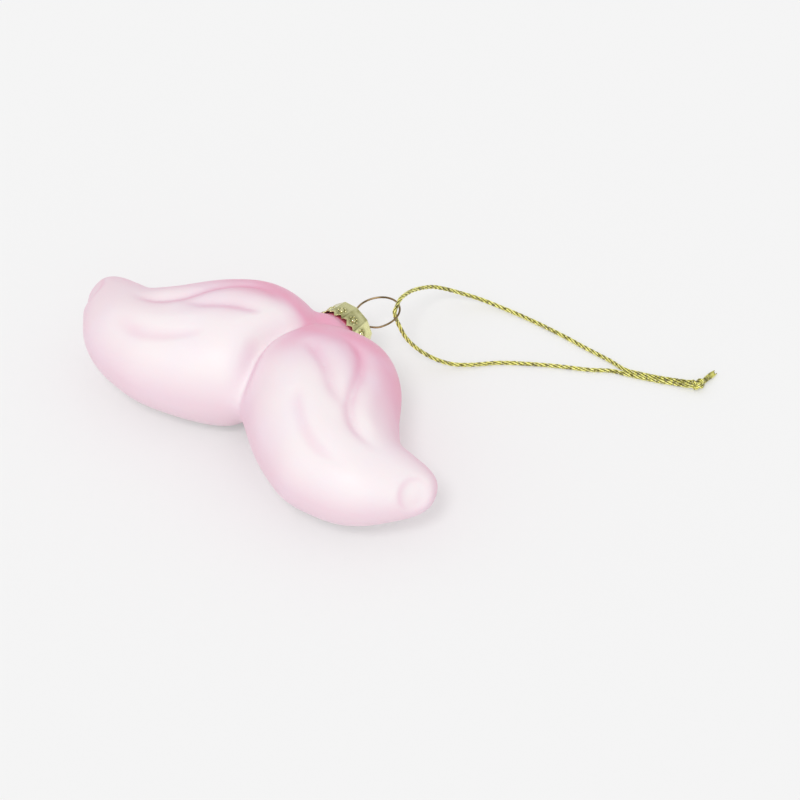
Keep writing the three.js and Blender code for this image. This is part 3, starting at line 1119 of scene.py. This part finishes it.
@dataclass
class GlassBody(Piece):
    """The blown shell: two lobes that curl up to their tips, and the neck."""

    lobe_length: float = 49.4
    waist_rounding: float = 1.5
    fullness: float = 2.1
    hang: float = 10.4
    widest: float = 20.3
    thickest: float = 14.3
    middle: tuple[float, ...] = (
        0.202, 0.067, -0.115, -0.433, -0.798, -1.0, -0.904, -0.721, -0.596, -0.577, -0.606
    )
    half_width: tuple[float, ...] = (0.685, 0.897, 1.0, 0.956, 0.749, 0.576, 0.493, 0.384, 0.261, 0.118, 0.0)
    half_thick: tuple[float, ...] = (0.811, 0.986, 1.0, 0.916, 0.804, 0.678, 0.545, 0.42, 0.308, 0.161, 0.0)
    waist: Waist = Waist()
    left_slimness: float = 0.05
    left_slim_from: float = 0.3
    left_tip_drop: float = 1.2
    dimple: TipDimple = TipDimple()
    neck: Neck = Neck()
    pink: ToneAndPaintedLight = ToneAndPaintedLight()
    voxel: float = 0.385
    skin_ease: float = 0.4
    skin_rounds: int = 3
    root_ease: float = 0.5
    root_rounds: int = 40
    root_y: tuple[float, float, float, float] = (10.0, 13.0, 16.0, 17.6)
    root_radius: Pair = (9.0, 13.0)
    rings: int = 280
    around: int = 180
    ring_crowding: float = 1.3
    grooves: tuple[Groove, ...] = (
        Groove(
            0.75, 2.3, 0.3, 0.0,
            ((5.5, 3.2), (10.0, 1.3), (14.5, -0.9), (19.5, -4.2), (25.0, -6.0)),
        ),
        Groove(
            1.15, 2.1, 0.4, 0.6,
            (
                (5.0, 8.2), (12.0, 9.6), (16.5, 8.0), (20.0, 4.0), (22.5, -1.0), (25.2, -5.2),
                (29.0, -8.0), (33.5, -8.6), (37.5, -7.6),
            ),
        ),
        Groove(
            0.6, 2.0, 0.25, 0.6,
            ((12.5, -8.5), (17.0, -12.6), (22.5, -16.0), (28.0, -17.2), (35.0, -16.2)),
        ),
    )

    def skin(self, t: np.ndarray, angle: np.ndarray) -> np.ndarray:
        """Places points on the lobes' skin.

        Args:
            t: The way along, -1 at the left tip and 1 at the right one.
            angle: The way round, from the cap's side over the front.

        Returns:
            Rows of the glass's own frame.
        """
        x = self.lobe_length * np.sin(t * np.pi / 2)
        reach = np.hypot(x, self.waist_rounding * np.sqrt(1.0 - (x / self.lobe_length) ** 2))
        share = (2 / np.pi) * np.arcsin(np.minimum(reach / self.lobe_length, 1.0))
        half_width, half_thick = (
            most * np.maximum(read_sections(values, -values[-2], share), 0.0)
            for most, values in ((self.widest, self.half_width), (self.thickest, self.half_thick))
        )
        left = smoothstep(-t, 0.0, self.left_slim_from)
        middle = self.hang * read_sections(self.middle, self.middle[-2], share)
        middle = middle - left * self.left_tip_drop * share**2
        around = (np.cos(angle), np.sin(angle))
        round_y, round_z = (np.sign(v) * np.abs(v) ** (2 / self.fullness) for v in around)
        y = middle + (1 - left * self.left_slimness) * half_width * round_y
        z = half_thick * round_z
        pressed = self.waist.press(x, y, z < 0) + sum(groove.press(x, y, z < 0) for groove in self.grooves)
        z = np.sign(z) * np.maximum(np.abs(z) - pressed * np.sqrt(np.abs(np.sin(angle))), 0.0)
        return self.dimple.press(np.stack([x - self.waist.aside(x, y), y, z], axis=-1), self.left_tip_drop)

    def lobes(self) -> Object:
        """Draws the closed skin of both lobes, with its rings closer together near the waist.

        Returns:
            The object.
        """
        spread = np.linspace(-1.0, 1.0, self.rings + 2)[1:-1]
        t = np.sign(spread) * np.abs(spread) ** self.ring_crowding
        angle = np.linspace(0, 2 * np.pi, self.around, endpoint=False)
        grid = self.skin(*np.meshgrid(t, angle, indexing="ij"))
        tips = self.skin(np.array([-1.0, 1.0]), np.zeros(2))
        points = np.vstack([grid.reshape(-1, 3), tips])
        return new_object("blown_glass", self.place.bring(points), ring_faces(self.rings, self.around, 2))

    def pink_and_painted_light(self, own: np.ndarray, normal: np.ndarray) -> np.ndarray:
        """How pink the lacquer is, with painted highlight and painted shade added in, 0 near white to 1 dark
        red.

        Args:
            own: Corners in the glass's own frame.
            normal: The skin's normals there.

        Returns:
            One number for each corner.
        """
        pink = self.pink
        x, y, z = own.T
        up = normal[:, 2]
        # Painted highlight where the skin faces the lit direction and painted shade as it turns away, the
        # back alike.
        depthwise = np.where(up > 0, up, pink.back_gain * np.maximum(-up - pink.back_from, 0.0))
        painted_light_from = np.array(pink.painted_light_from)
        edge = np.clip(1.0 - (normal[:, :2] @ painted_light_from[:2] + depthwise * painted_light_from[2]), 0.0, 1.0)
        # Painted shade along the grooves, weaker on the back.
        groove = np.zeros(len(x))
        for pressed in self.grooves:
            distance, left = pressed.near(x, y)
            line = bell(distance, 0.0, pink.groove_shade_width * pressed.width) * left
            groove = np.maximum(groove, np.where(z > 0, line, pressed.back_share * line))
        away = self.dimple.away(own, self.left_tip_drop)[0][:, 0]
        # Painted shade along the right lobe's side of the waist crease.
        waist_shade = smoothstep(x, *pink.waist_shade_x) * bell(x, 0.0, pink.waist_shade_width)
        waist_shade = waist_shade * smoothstep(y, *pink.waist_shade_y)
        collar = 1.0 - pink.collar * smoothstep(y, *pink.collar_y)
        near_neck = smoothstep(y, *pink.neck_y) * collar * bell(x, 0.0, pink.neck_width)
        # Painted highlight on the left lobe beside the waist.
        painted_highlight = bell(x, *pink.highlight_x) * band(y, *pink.highlight_y)
        # Painted shade round each dimple's rim, weaker out at the tips' ends.
        rim_shade_share = pink.rim_shade_least + (1.0 - pink.rim_shade_least) * smoothstep(-np.abs(x), *pink.rim_shade_x)
        tone = pink.palest + pink.capward * smoothstep(y, *pink.capward_y)
        tone += pink.waist * waist_shade + pink.neck * near_neck - pink.painted_highlight * painted_highlight
        tone += pink.edge * edge - pink.edge_fall * edge**2
        tone += pink.groove * groove + pink.rim * bell(away, 1.0, pink.rim_shade_width) * rim_shade_share
        tone += pink.deep_gain * np.maximum(tone - pink.deep_from, 0.0) - pink.paler
        # Painted dark red shade on the neck just under the cap's rim.
        under_cap = smoothstep(y, *pink.cap_shade_y) * (1.0 - smoothstep(np.hypot(x, z), *pink.cap_shade_radius))
        return np.clip(np.minimum(tone, pink.deepest) + pink.red * under_cap, 0.0, 1.0)

    def build(self) -> Object:
        """Blows lobes and neck into one skin, eases the neck's root and dresses the glass.

        Returns:
            The piece.
        """
        glass = join_meshes(self.lobes(), self.neck.build(self.place))
        remesh = glass.modifiers.new("one_skin", "REMESH")
        remesh.mode = "VOXEL"
        remesh.voxel_size = self.voxel * MM
        remesh.use_smooth_shade = True
        mesh = settle(glass).data
        own = self.place.take_back(corners_of(mesh))
        near_axis = 1 - smoothstep(np.hypot(own[:, 0], own[:, 2]), *self.root_radius)
        relax(mesh, np.full(len(own), self.skin_ease), self.skin_rounds)
        relax(mesh, self.root_ease * band(own[:, 1], *self.root_y) * near_axis, self.root_rounds)
        settled = corners_of(mesh)
        settled[:, 2] = np.maximum(settled[:, 2], 0.0)
        put_corners(mesh, settled)
        flat = np.zeros(len(settled) * 3, np.float32)
        mesh.vertices.foreach_get("normal", flat)
        normals = flat.reshape(-1, 3).astype(float)
        # Stores the lacquer's tone with its painted highlight and painted shade.
        put_mask(mesh, "pink_and_painted_light", self.pink_and_painted_light(self.place.take_back(settled), normals))
        mesh.materials.clear()
        mesh.materials.append(self.finish)
        return self.dress(glass, "glass", "glass_body", "lacquered_glass")


@dataclass(frozen=True)
class Fittings:
    """What the cap and the wire share: the cap's top, the turn of both and the wire's place."""

    neck: Neck = Neck()
    clearance: float = 0.3
    cap_sheet: float = 0.35
    turn_degrees: float = 11.2
    leg_x: float = 2.7
    wire_radius: float = 0.25

    @property
    def cap_top(self) -> float:
        """Height of the cap's top on the neck's axis."""
        return self.neck.top + self.clearance + self.cap_sheet

    @property
    def wall_radius(self) -> float:
        """Outer radius of the cap's wall."""
        return self.neck.radius + self.clearance + self.cap_sheet

    def seated(self, points: np.ndarray) -> np.ndarray:
        """Turns rows round the neck's axis, as the cap and the wire sit."""
        return turned(points, -self.turn_degrees)


@dataclass
class CrownCap(Piece):
    """The stamped cap: a flat top, a pleated wall, a pointed rim and a ring of rosettes."""

    tree: NodeTree
    fittings: Fittings
    height: float = 5.4
    corner: float = 0.45
    flare: float = 0.6
    flare_bend: float = 0.55
    top_rings: tuple[float, ...] = (0.6, 1.4, 2.4, 3.4, 4.2)
    columns: int = 480
    petals: int = 10
    points: int = 20
    point_depth: float = 1.1
    long_point: float = 0.3
    wobble: float = 0.1
    wobble_seed: int = 11
    wobble_waves: tuple[int, ...] = (2, 3, 5, 7)
    arch_power: float = 0.8
    arch_height: float = 0.8
    arch_wobble: float = 0.25
    corner_share: float = 0.05
    flat_between: Pair = (3.4, 5.0)
    crease: float = 0.16
    crease_power: int = 16
    # Painted shade in the wall's creases, towards the rim, and round each rosette.
    crease_shade_power: int = 12
    rosette_shade: float = 0.75
    sheet: float = 0.2
    drill_sides: int = 20
    drill_reach: float = 1.0
    rosette_drop: float = 3.3
    rosette_turn: float = 5.0
    rosette_reach: float = 1.3
    rosette_flare: float = 0.42
    dome_radius: float = 0.58
    dot_radius: float = 0.27
    dot_ring: float = 0.95
    dots: int = 7

    def profile(self) -> list[Pair]:
        """Lists the sheet's radius and height from the middle of the top to the rim.

        Returns:
            The outline's points.
        """
        wall, bend = self.fittings.wall_radius, self.fittings.cap_top - self.corner
        points = [(radius, self.fittings.cap_top) for radius in self.top_rings]
        for a in np.linspace(0, np.pi / 2, 6):
            points.append((wall - self.corner + self.corner * math.sin(a), bend + self.corner * math.cos(a)))
        for drop in np.linspace(0, 1, 22)[1:]:
            flare = self.flare * ((1 - self.flare_bend) * drop + self.flare_bend * drop**2)
            points.append((wall + flare, bend - (self.height - self.corner) * drop))
        return points

    def sheet_points(self) -> tuple[np.ndarray, np.ndarray]:
        """Places the outer face of the sheet.

        Returns:
            Rows of rings from the middle of the top to the rim, and how much painted shade each point gets.
        """
        top = self.fittings.cap_top
        angle = np.linspace(0, 2 * np.pi, self.columns, endpoint=False)
        random = np.random.default_rng(self.wobble_seed)
        wobble = np.zeros(self.columns)
        for waves in self.wobble_waves:
            wobble += random.uniform(-1, 1) * np.cos(waves * angle + random.uniform(0, 6.28))
        wobble /= len(self.wobble_waves)
        panel = np.mod(angle * self.petals / (2 * np.pi) + 0.5, 1.0) * 2 - 1
        side = np.pi / self.petals
        flat = np.cos(side) / np.cos(panel * side) * (1 + 0.5 * self.corner_share)
        tooth = np.abs(np.mod(angle * self.points / (2 * np.pi), 1.0) * 2 - 1)
        arch = (1 - tooth) ** self.arch_power * (self.arch_height + self.arch_wobble * wobble)
        rows, sunk = [], []
        for r, y in self.profile():
            drop = min(max((top - self.corner - y) / (self.height - self.corner), 0.0), 1.0)
            flatness = smoothstep(np.array(r), *self.flat_between)
            radius = r * (1 + flatness * (flat - 1)) + drop * self.wobble * wobble
            radius = radius - drop * self.crease * np.abs(panel) ** self.crease_power
            lift = drop**3 * (self.point_depth * arch - self.long_point * (1 - np.abs(panel)))
            rows.append(ring(radius, y + lift, self.columns))
            # Painted shade round each rosette and in the wall's creases, deepest towards the rim.
            across, along = panel * side * r, y - top + self.rosette_drop
            round_rosette = np.exp(-(((across**2 + along**2) / self.rosette_reach**2) ** 2))
            pleat_shade = drop * np.abs(panel) ** self.crease_shade_power
            sunk.append(np.maximum(pleat_shade, self.rosette_shade * round_rosette))
        return np.array(rows), np.array(sunk)

    def build_sheet(self) -> Object:
        """Builds the sheet with its thickness and its two holes.

        Returns:
            The object.
        """
        rings, sunk = self.sheet_points()
        middle = [[0.0, self.fittings.cap_top, 0.0]]
        points = np.vstack([turned(rings.reshape(-1, 3), self.rosette_turn), middle])
        faces = [face[::-1] for face in ring_faces(len(rings), self.columns, 1)]
        cap = new_object("stamped_cap", self.place.bring(self.fittings.seated(points)), faces)
        put_mask(cap.data, "sunk", np.append(sunk.ravel(), 0.0))
        wall = cap.modifiers.new("sheet", "SOLIDIFY")
        wall.thickness = self.sheet * MM
        wall.offset = -1.0
        holes = self.drill()
        cut = cap.modifiers.new("holes", "BOOLEAN")
        cut.operation = "DIFFERENCE"
        cut.solver = "EXACT"
        cut.object = holes
        settle(cap)
        bpy.data.objects.remove(holes)
        for polygon in cap.data.polygons:
            polygon.use_smooth = True
        return cap

    def drill(self) -> Object:
        """Makes the two round bars, in one mesh, that the wire's holes are cut with.

        Returns:
            The object.
        """
        fittings, sides = self.fittings, self.drill_sides
        radius = fittings.wire_radius + fittings.clearance
        bar = [tuple(reversed(range(sides))), tuple(range(sides, 2 * sides)), *ring_faces(2, sides, 0)]
        points, faces = [], []
        for x in (-fittings.leg_x, fittings.leg_x):
            faces.extend(tuple(len(points) * sides + corner for corner in face) for face in bar)
            ends = (fittings.cap_top - self.drill_reach, fittings.cap_top + self.drill_reach)
            points += [ring(radius, y, sides, x) for y in ends]
        return new_object("wire_holes", self.place.bring(fittings.seated(np.vstack(points))), faces)

    def build_rosettes(self) -> Object:
        """Sets the rosettes out on the wall's flat faces.

        Returns:
            The object.
        """
        rosettes = new_object("rosettes", np.zeros((1, 3)), [])
        flat = math.cos(math.pi / self.petals) * (1 + 0.5 * self.corner_share)
        sizes = {
            "Count": self.petals,
            "Ring Radius": (self.fittings.wall_radius * flat + self.rosette_flare * self.flare) * MM,
            "Dots": self.dots,
            "Dot Radius": self.dot_radius * MM,
            "Dot Ring": self.dot_ring * MM,
            "Dome Radius": self.dome_radius * MM,
            "Seed": 5,
            "Material": self.finish,
        }
        grow_with(rosettes, self.tree, sizes)
        spin = math.radians(90 + self.rosette_turn - self.fittings.turn_degrees)
        spun = corners_of(rosettes.data) @ np.array(Matrix.Rotation(spin, 3, "Y")).T
        middle = np.array([[0.0, self.fittings.cap_top - self.rosette_drop, 0.0]])
        put_corners(rosettes.data, spun + self.place.bring(middle))
        put_mask(rosettes.data, "sunk", np.zeros(len(spun)))
        return rosettes

    def build(self) -> Object:
        """Builds and dresses the cap.

        Returns:
            The piece.
        """
        cap = self.build_sheet()
        cap.data.materials.append(self.finish)
        return self.dress(join_meshes(cap, self.build_rosettes()), "cap", "crown_cap", "cap_metal")


@dataclass
class HangerWire(Piece):
    """The spring wire: two legs in the neck, shoulders on the cap and the loop above it."""

    tree: NodeTree
    fittings: Fittings
    seen_share: float = 0.9
    loop_radius: float = 5.13
    loop_seat: float = 0.85
    loop_lean: float = 1.45
    loop_sag: float = 0.3
    loop_tilt: float = 5.2
    loop_start: int = 196
    loop_end: int = -46
    loop_step: int = 22
    left_shoulder: Pair = (0.05, 1.7)
    right_shoulder: Pair = (0.75, 0.85)
    splay: float = 0.65
    knee: Pair = (0.6, 0.55)
    foot: float = 5.0
    straight: float = 7.0
    step: float = 0.35
    sides: int = 14

    def leg(self, side: int) -> list[Point]:
        """Lists the points of one leg, from its splayed foot up to the cap.

        Args:
            side: -1 for the left leg, 1 for the right one.

        Returns:
            The points.
        """
        top, leg_x = self.fittings.cap_top, self.fittings.leg_x
        bend = top - self.straight
        knee = (self.knee[0] * self.splay, bend - self.knee[1] * self.foot)
        splayed = [(self.splay, bend - self.foot), knee]
        upright = [(0.0, bend), (0.0, top - 0.5 * self.straight), (0.0, top)]
        return [(side * (leg_x + out), y, 0.0) for out, y in splayed + upright]

    def shoulder(self, side: int, size: Pair) -> Point:
        """The point where the wire leaves the cap for its loop."""
        leg_x, top = self.fittings.leg_x, self.fittings.cap_top
        return (side * (leg_x + size[0]), top + size[1], -0.5 * self.loop_sag)

    def route(self) -> list[Point]:
        """Lists the wire's points, from its left foot round the loop to its right foot.

        Returns:
            The points.
        """
        tilt = math.radians(self.loop_tilt)
        middle = self.fittings.cap_top + self.loop_seat + self.loop_radius
        points = [*self.leg(-1), self.shoulder(-1, self.left_shoulder)]
        for degrees in range(self.loop_start, self.loop_end - 1, -self.loop_step):
            angle = math.radians(degrees)
            rise = self.loop_radius * math.sin(angle)
            x = self.loop_lean + self.loop_radius * math.cos(angle)
            points.append((x, middle + rise * math.cos(tilt), -self.loop_sag + rise * math.sin(tilt)))
        return [*points, self.shoulder(1, self.right_shoulder), *reversed(self.leg(1))]

    def build(self) -> Object:
        """Builds and dresses the wire.

        Returns:
            The piece.
        """
        route = self.fittings.seated(route_through(self.route(), 12))
        wire = new_polyline("hanging_wire", self.place.bring(route))
        radius = self.seen_share * self.fittings.wire_radius * MM
        sizes = {"Radius": radius, "Step": self.step * MM, "Sides": self.sides}
        grow_with(wire, self.tree, {**sizes, "Material": self.finish})
        put_mask(wire.data, "sunk", np.zeros(len(wire.data.vertices)))
        return self.dress(wire, "hanger", "hanger_wire", "hanger_metal")


@dataclass(frozen=True)
class Twist:
    """How plies are laid round each other, in millimetres."""

    plies: int
    ply_radius: float
    ply_offset: float
    pitch: float
    step: float
    sides: int

    def sizes(self, finish: Material) -> dict[str, Any]:
        """The inputs of the tree that lays the plies.

        Args:
            finish: The material of the plies.

        Returns:
            Each input's value, lengths in metres.
        """
        lengths = {
            "Ply Radius": self.ply_radius,
            "Ply Offset": self.ply_offset,
            "Pitch": self.pitch,
            "Step": self.step,
        }
        metres = {name: value * MM for name, value in lengths.items()}
        return {"Plies": self.plies, "Sides": self.sides, "Material": finish, **metres}


@dataclass
class GoldCord(Piece):
    """The cord: two strands from the wire loop to one knot, and its two frayed ends."""

    tree: NodeTree
    radius: float = 0.475
    strand_twist: Twist = Twist(4, 0.2, 0.275, 6.4, 0.2, 10)
    knot_twist: Twist = Twist(4, 0.1935, 0.2365, 3.84, 0.09, 8)
    fibre_twist: Twist = Twist(3, 0.091, 0.056, 1.6, 0.12, 7)
    upper: tuple[Point, ...] = (
        (5.08, 32.12, 15.52), (4.7, 33.3, 16.2), (4.1, 34.8, 16.35), (3.2, 37.25, 15.4), (2.2, 41.0, 13.6),
        (1.6, 45.0, 11.3), (1.5, 48.9, 8.9), (2.3, 52.1, 6.6), (3.9, 55.3, 4.2), (7.0, 58.5, 2.1),
        (11.3, 60.6, 0.95), (18.6, 62.3, 0.55), (26.5, 63.3, 0.5), (34.7, 63.9, 0.5), (40.4, 64.4, 0.5),
        (44.7, 64.5, 0.5), (47.85, 65.75, 0.5), (50.6, 67.05, 0.5), (54.35, 69.0, 0.6), (57.8, 70.65, 1.0),
    )
    lower: tuple[Point, ...] = (
        (5.15, 31.95, 15.2), (5.6, 31.7, 14.5), (6.3, 31.45, 13.9), (7.25, 31.4, 12.5), (8.6, 31.9, 9.9),
        (10.1, 33.2, 7.2), (11.6, 35.0, 4.7), (14.0, 37.4, 2.4), (16.1, 39.6, 1.2), (18.7, 42.5, 0.7),
        (22.8, 47.4, 0.5), (27.9, 51.6, 0.5), (33.3, 55.5, 0.5), (38.8, 59.1, 0.5), (42.7, 62.2, 0.5),
        (46.0, 63.65, 0.5), (48.8, 64.95, 0.5), (52.65, 66.85, 0.5), (55.95, 68.65, 0.6), (58.5, 69.7, 0.95),
    )
    route_steps: int = 16
    joint: Point = (5.11, 32.03, 15.36)
    upper_in_knot: Point = (58.7, 71.2, 1.15)
    lower_in_knot: Point = (59.3, 70.4, 1.05)
    knot_at: Point = (59.75, 71.3, 1.15)
    knot_heading: float = 30.0
    knot_size: Point = (0.40, 0.38, 0.55)
    long_tail: tuple[Point, ...] = (
        (59.8, 72.3, 1.2), (59.78, 73.15, 1.0), (59.6, 74.8, 0.85), (59.55, 76.4, 0.7), (59.75, 77.9, 0.55)
    )
    short_tail: tuple[Point, ...] = (
        (60.4, 72.2, 1.1), (60.4, 73.0, 0.95), (60.25, 74.6, 0.8), (60.2, 76.0, 0.65), (60.05, 77.2, 0.55)
    )
    tail_spread: float = 0.17
    fan: float = 0.5
    stray: float = 0.05
    fibre_lift: Pair = (-0.1, 0.2)
    cut_back: int = 8
    fibre_radius: float = 0.14
    long_seed: int = 4
    short_seed: int = 9

    def routes(self) -> dict[Strand, np.ndarray]:
        """Draws both strands in metres, each from the wire loop to the knot."""
        points = {Strand.UPPER: self.upper, Strand.LOWER: self.lower}
        return {s: self.place.bring_table(route_through(points[s], self.route_steps)) for s in Strand}

    def drawn(self) -> dict[Strand, np.ndarray]:
        """Draws both strands as one cord round the wire, each run on into the knot.

        Returns:
            Each strand's drawn route in metres, from the bend round the wire to the knot.
        """
        upper = [*self.upper[1:], self.upper_in_knot]
        lower = [*self.lower[1:], self.lower_in_knot]
        whole = route_through([*reversed(upper), self.joint, *lower], self.route_steps)
        whole = self.place.bring_table(whole)
        bend = len(upper) * self.route_steps
        return {Strand.UPPER: whole[: bend + 2][::-1], Strand.LOWER: whole[bend - 1 :]}

    def lay(self, name: str, route: np.ndarray, twist: Twist) -> Object:
        """Lays plies along a route in metres."""
        return grow_with(new_polyline(name, route), self.tree, twist.sizes(self.finish))

    def dress_cord(self, made: Object, node: str) -> Object:
        """Dresses a piece of the cord in place of its node."""
        return self.dress(made, "cord", node, "gold_cord")

    def build_strands(self) -> dict[Strand, Object]:
        """Builds and dresses both strands.

        Returns:
            Each strand's piece.
        """
        made = {}
        for strand, route in self.drawn().items():
            name = strand.value.replace("cord_strand", "twisted_strand")
            made[strand] = self.dress_cord(self.lay(name, route, self.strand_twist), strand.value)
        return made

    def build_knot(self) -> Object:
        """Builds and dresses the overhand knot, drawn up tight.

        Returns:
            The piece.
        """
        turn = np.linspace(0.0, 2 * np.pi, 160)
        x, y = np.sin(turn) + 2 * np.sin(2 * turn), np.cos(turn) - 2 * np.cos(2 * turn)
        over = np.stack([x, y, -np.sin(3 * turn)], axis=1) * np.array(self.knot_size)
        heading = np.array(Matrix.Rotation(math.radians(self.knot_heading), 3, "Z"))
        route = self.place.bring_table(over @ heading.T + np.array(self.knot_at))
        return self.dress_cord(self.lay("tied_knot", route, self.knot_twist), "cord_knot")

    def build_tail(self, tail: Tail) -> Object:
        """Builds and dresses one cut end, whose fibres have come apart.

        Args:
            tail: Which end.

        Returns:
            The piece.
        """
        is_long = tail is Tail.LONG
        spine = route_through(self.long_tail if is_long else self.short_tail, 12)
        random = np.random.default_rng(self.long_seed if is_long else self.short_seed)
        share = np.linspace(0.0, 1.0, len(spine))
        ahead = np.gradient(spine, axis=0)
        across = np.stack([-ahead[:, 1], ahead[:, 0], np.zeros(len(spine))], axis=1)
        across /= np.linalg.norm(across, axis=1)[:, None]
        made = None
        for i, side in enumerate((-1.0, 0.0, 1.0)):
            stray = random.uniform(-self.stray, self.stray) * np.sin(7 * share + i)
            bent = self.tail_spread * side * (1.0 + self.fan * share**2) + stray
            route = spine + across * bent[:, None]
            lift = random.uniform(*self.fibre_lift) * np.sin(3 * share)
            route[:, 2] = np.maximum(route[:, 2] + lift, self.fibre_radius)
            route = self.place.bring_table(route[: len(route) - int(random.integers(0, self.cut_back))])
            name = tail.value.replace("cord_tail", "frayed_tail") if made is None else "fibre"
            fibre = self.lay(name, route, self.fibre_twist)
            made = fibre if made is None else join_meshes(made, fibre)
        return self.dress_cord(made, tail.value)

    def build(self) -> None:
        """Builds the whole cord."""
        strands = self.build_strands()
        knot = self.build_knot()
        tails = [self.build_tail(tail) for tail in Tail]
        for strand, route in self.routes().items():
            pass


@dataclass
class Studio:
    """Camera, floor and soft light."""

    azimuth: float = 42.62381
    elevation: float = 43.99029
    distance: float = 1448.84
    aim_right: float = 26.363
    aim_up: float = -4.419
    lens: float = 299.94
    sensor: float = 36.0
    clip: Pair = (0.05, 20.0)
    world_light: float = 0.785
    seen_world: float = 0.913
    glossy_world: float = 0.62
    key_strength: float = 0.9
    key_softness: float = 14.0
    key_from: Point = (0.28, -0.54, 0.79)
    floor_size: float = 4.0

    def directions(self) -> tuple[Vector, Vector, Vector]:
        """The view's right, up and back directions.

        Returns:
            The three directions.
        """
        a, e = math.radians(self.azimuth), math.radians(self.elevation)
        right = Vector((math.cos(a), math.sin(a), 0.0))
        up = Vector((-math.sin(e) * math.sin(a), math.sin(e) * math.cos(a), math.cos(e)))
        back = Vector((math.sin(a) * math.cos(e), -math.cos(a) * math.cos(e), math.sin(e)))
        return right, up, back

    def build_camera(self, place: Place) -> None:
        """Sets the camera at the photograph's angle.

        Args:
            place: Where the glass lies.
        """
        right, up, back = self.directions()
        origin = Vector((0.0, place.shift, place.height)) * MM
        data = bpy.data.cameras.new("camera")
        data.lens = self.lens
        data.sensor_width = self.sensor
        data.clip_start, data.clip_end = self.clip
        camera = bpy.data.objects.new("camera", data)
        bpy.context.scene.collection.objects.link(camera)
        camera.location = origin + back * self.distance * MM
        aim = origin + (right * self.aim_right + up * self.aim_up) * MM
        away = (camera.location - aim).normalized()
        level = (right - away * right.dot(away)).normalized()
        camera.rotation_mode = "QUATERNION"
        camera.rotation_quaternion = Matrix((level, away.cross(level), away)).transposed().to_quaternion()
        bpy.context.scene.camera = camera

    def build_floor(self, finish: Material) -> None:
        """Lays the floor that the bauble lies on.

        Args:
            finish: The floor's material.
        """
        half = self.floor_size / 2
        corners = np.array([[-half, -half, 0.0], [half, -half, 0.0], [half, half, 0.0], [-half, half, 0.0]])
        floor = new_object("floor", corners, [(0, 1, 2, 3)])
        floor.data.materials.append(finish)

    def build_light(self) -> None:
        """Lights the bauble with a pale world and one wide soft key."""
        world = bpy.data.worlds.new("pale_world")
        bpy.context.scene.world = world
        world.use_nodes = True
        world.node_tree.nodes.clear()
        sheet = Sheet(world.node_tree)
        path = sheet.add("ShaderNodeLightPath").outputs
        seen = sheet.maths("MAXIMUM", path["Is Camera Ray"], path["Is Transmission Ray"])
        strength = sheet.maths("MULTIPLY_ADD", seen, self.seen_world - self.world_light, self.world_light)
        glossy = self.glossy_world - self.world_light
        strength = sheet.maths("MULTIPLY_ADD", path["Is Glossy Ray"], glossy, strength)
        shown = sheet.get("ShaderNodeBackground", {"Color": (1.0, 1.0, 1.0), "Strength": strength})
        sheet.add("ShaderNodeOutputWorld", {"Surface": shown})
        lamp = bpy.data.lights.new("soft_key", "SUN")
        lamp.energy = self.key_strength
        lamp.angle = math.radians(self.key_softness)
        key = bpy.data.objects.new("soft_key", lamp)
        bpy.context.scene.collection.objects.link(key)
        key.rotation_mode = "QUATERNION"
        key.rotation_quaternion = Vector(self.key_from).to_track_quat("Z", "Y")


def write_sizes() -> None:
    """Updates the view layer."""
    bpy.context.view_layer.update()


def main() -> None:
    """Builds the camera, the cord, the glass, the cap, the wire and the studio."""
    logging.basicConfig(level=logging.INFO, format="%(name)s: %(message)s")
    bpy.context.scene.view_settings.view_transform = "Standard"
    fittings = Fittings()
    place = Place.under_cap(fittings.cap_top)
    studio = Studio()
    studio.build_camera(place)
    effects = SharedEffects()
    trees = SweepTrees()
    GoldCord(place, CordFinish("gold_thread", effects).build(), trees.twist).build()
    GlassBody(place, LacquerFinish("pearl_lacquer", effects).build(), neck=fittings.neck).build()
    cap_metal = MetalFinish(
        "stamped_gold",
        effects,
        main=(0.88, 0.86, 0.46),
        other=(0.40, 0.385, 0.13),
        # Painted shade colour in the cap's creases and round its rosettes.
        sunk=(0.13, 0.125, 0.035),
        roughness=(0.14, 0.34),
        grain_scale=1100.0,
        cloud_scale=420.0,
        dent=0.0001,
        lacquer=0.1,
    )
    CrownCap(place, cap_metal.build(), trees.rosettes, fittings).build()
    wire_metal = MetalFinish(
        "brass_wire",
        effects,
        main=(0.42, 0.30, 0.16),
        other=(0.13, 0.09, 0.045),
        sunk=(0.1, 0.07, 0.05),
        roughness=(0.25, 0.42),
        grain_scale=2400.0,
        cloud_scale=700.0,
        dent=0.00001,
        lacquer=0.0,
    )
    HangerWire(place, wire_metal.build(), trees.rod, fittings).build()
    studio.build_floor(FloorFinish("pale_table", effects).build())
    studio.build_light()
    write_sizes()


if __name__ == "__main__":
    main()
